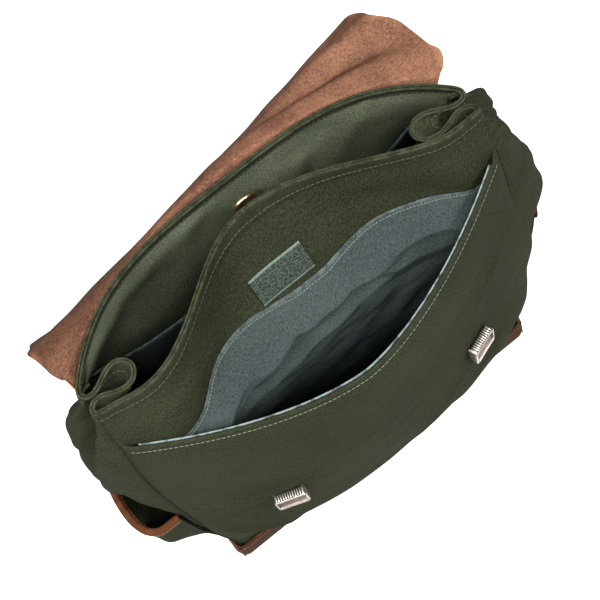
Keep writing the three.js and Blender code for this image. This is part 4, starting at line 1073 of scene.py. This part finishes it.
for name, side in SIDES.items():
    zs, xs = np.meshgrid(LOCK.z + NEAR, side.sign * LOCK.x + NEAR, indexing="ij")
    grid = pocket_front(xs / sections(np.array([LOCK.z])).seam_x, zs)
    out = normals(grid)[1, 1]
    right = unit(np.cross(unit(grid[2, 1] - grid[0, 1]), out))
    turn = np.stack([right, np.cross(out, right), out])
    origin = grid[1, 1] + out * (CANVAS / 2 + LOCK.standoff)
    points, faces, kinds = lock_frame_mesh()
    # The frame's top wall, floor and front band are painted darker than the plating, as painted shade
    settle(make_object(f"{name}_frame", points @ turn + origin, faces, [steel, painted_shade_steel, satin_painted_shade_steel], kinds,
                       smooth=False), "steel", f"{name}_lock_frame")
    points, faces = grip_mesh()
    # The grip ribs take the near-white steel: a painted highlight
    settle(make_object(f"{name}_frame_grip", points @ turn + origin, faces, [painted_highlight_steel]), "steel")
    for k, y in enumerate(np.linspace(-LOCK.height / 2 + ROD.low, WINDOW.bottom - ROD.high, ROD.count)):
        stations = (-WINDOW.x + 0.3, -WINDOW.x + 0.7, WINDOW.x - 0.7, WINDOW.x - 0.3)
        rod = [(x, y + ROD.half * math.cos(t), LOCK.depth + ROD.rise * math.sin(t)) for x in stations for t in OCTAGON]
        faces = ring_faces(len(stations), len(OCTAGON))
        settle(make_object(f"{name}_frame_rib_{k}", rod @ turn + origin, faces, [steel]), "steel")
    points, faces, kinds = lever_mesh()
    # The lever's plate between its ribs is painted dark: painted shade
    settle(make_object(f"{name}_lever_plate", points @ turn + origin, faces, [steel, painted_shade_steel], kinds, smooth=False),
           "steel", f"{name}_lock_lever", body=f"{name}_lever")

# Floor, light and camera
FLOOR = Sizes(half=6000, z=-0.2)
s = Shader("pale_floor")
pale_floor = s.finish(base_color=s.blend(s.noise(3.0), srgb(228, 228, 226), srgb(232, 232, 231)), roughness=0.9)
corners = [(x * FLOOR.half, y * FLOOR.half, FLOOR.z) for x, y in ((-1, -1), (1, -1), (1, 1), (-1, 1))]
make_object("floor", corners, [(0, 1, 2, 3)], [pale_floor])

# Lamps: place, width and power in watts
LIGHTS = (("ceiling", (-300, -200, 3200), 4200, 80.0), ("key", (-160, -640, 2050), 420, 31.0),
          ("right", (900, -900, 1700), 500, 48.0), ("left", (-1200, -300, 1700), 500, 44.0))
LIGHT_AIM = Vector((0, 0, 250))
scene = bpy.context.scene
for label, place, size, power in LIGHTS:
    light = bpy.data.lights.new(label, "AREA")
    light.shape, light.size, light.energy = "DISK", size * MM, power
    lamp = bpy.data.objects.new(label, light)
    scene.collection.objects.link(lamp)
    lamp.location = Vector(place) * MM
    lamp.rotation_euler = (LIGHT_AIM - Vector(place)).to_track_quat("-Z", "Y").to_euler()
scene.world = bpy.data.worlds.new("studio")
scene.world.use_nodes = True
sky = scene.world.node_tree.nodes["Background"].inputs
sky["Color"].default_value = (1, 1, 1, 1)
sky["Strength"].default_value = 0.2
scene.view_settings.view_transform = "Standard"

azimuth, elevation, roll = map(math.radians, (CAMERA.azimuth, CAMERA.elevation, CAMERA.roll))
level = Vector((math.cos(azimuth), math.sin(azimuth), 0))
back = Vector((math.sin(azimuth) * math.cos(elevation), -math.cos(azimuth) * math.cos(elevation), math.sin(elevation)))
upright = back.cross(level)
right = math.cos(roll) * level + math.sin(roll) * upright
up = math.cos(roll) * upright - math.sin(roll) * level
lens = bpy.data.cameras.new("camera")
lens.sensor_width = CAMERA.sensor
lens.lens = CAMERA.focal * CAMERA.sensor / CAMERA.frame
scene.camera = bpy.data.objects.new("camera", lens)
scene.collection.objects.link(scene.camera)
place = (Vector(CAMERA.target) + back * CAMERA.distance) * MM
scene.camera.matrix_world = Matrix.Translation(place) @ Matrix((right, up, back)).transposed().to_4x4()

bpy.context.view_layer.update()
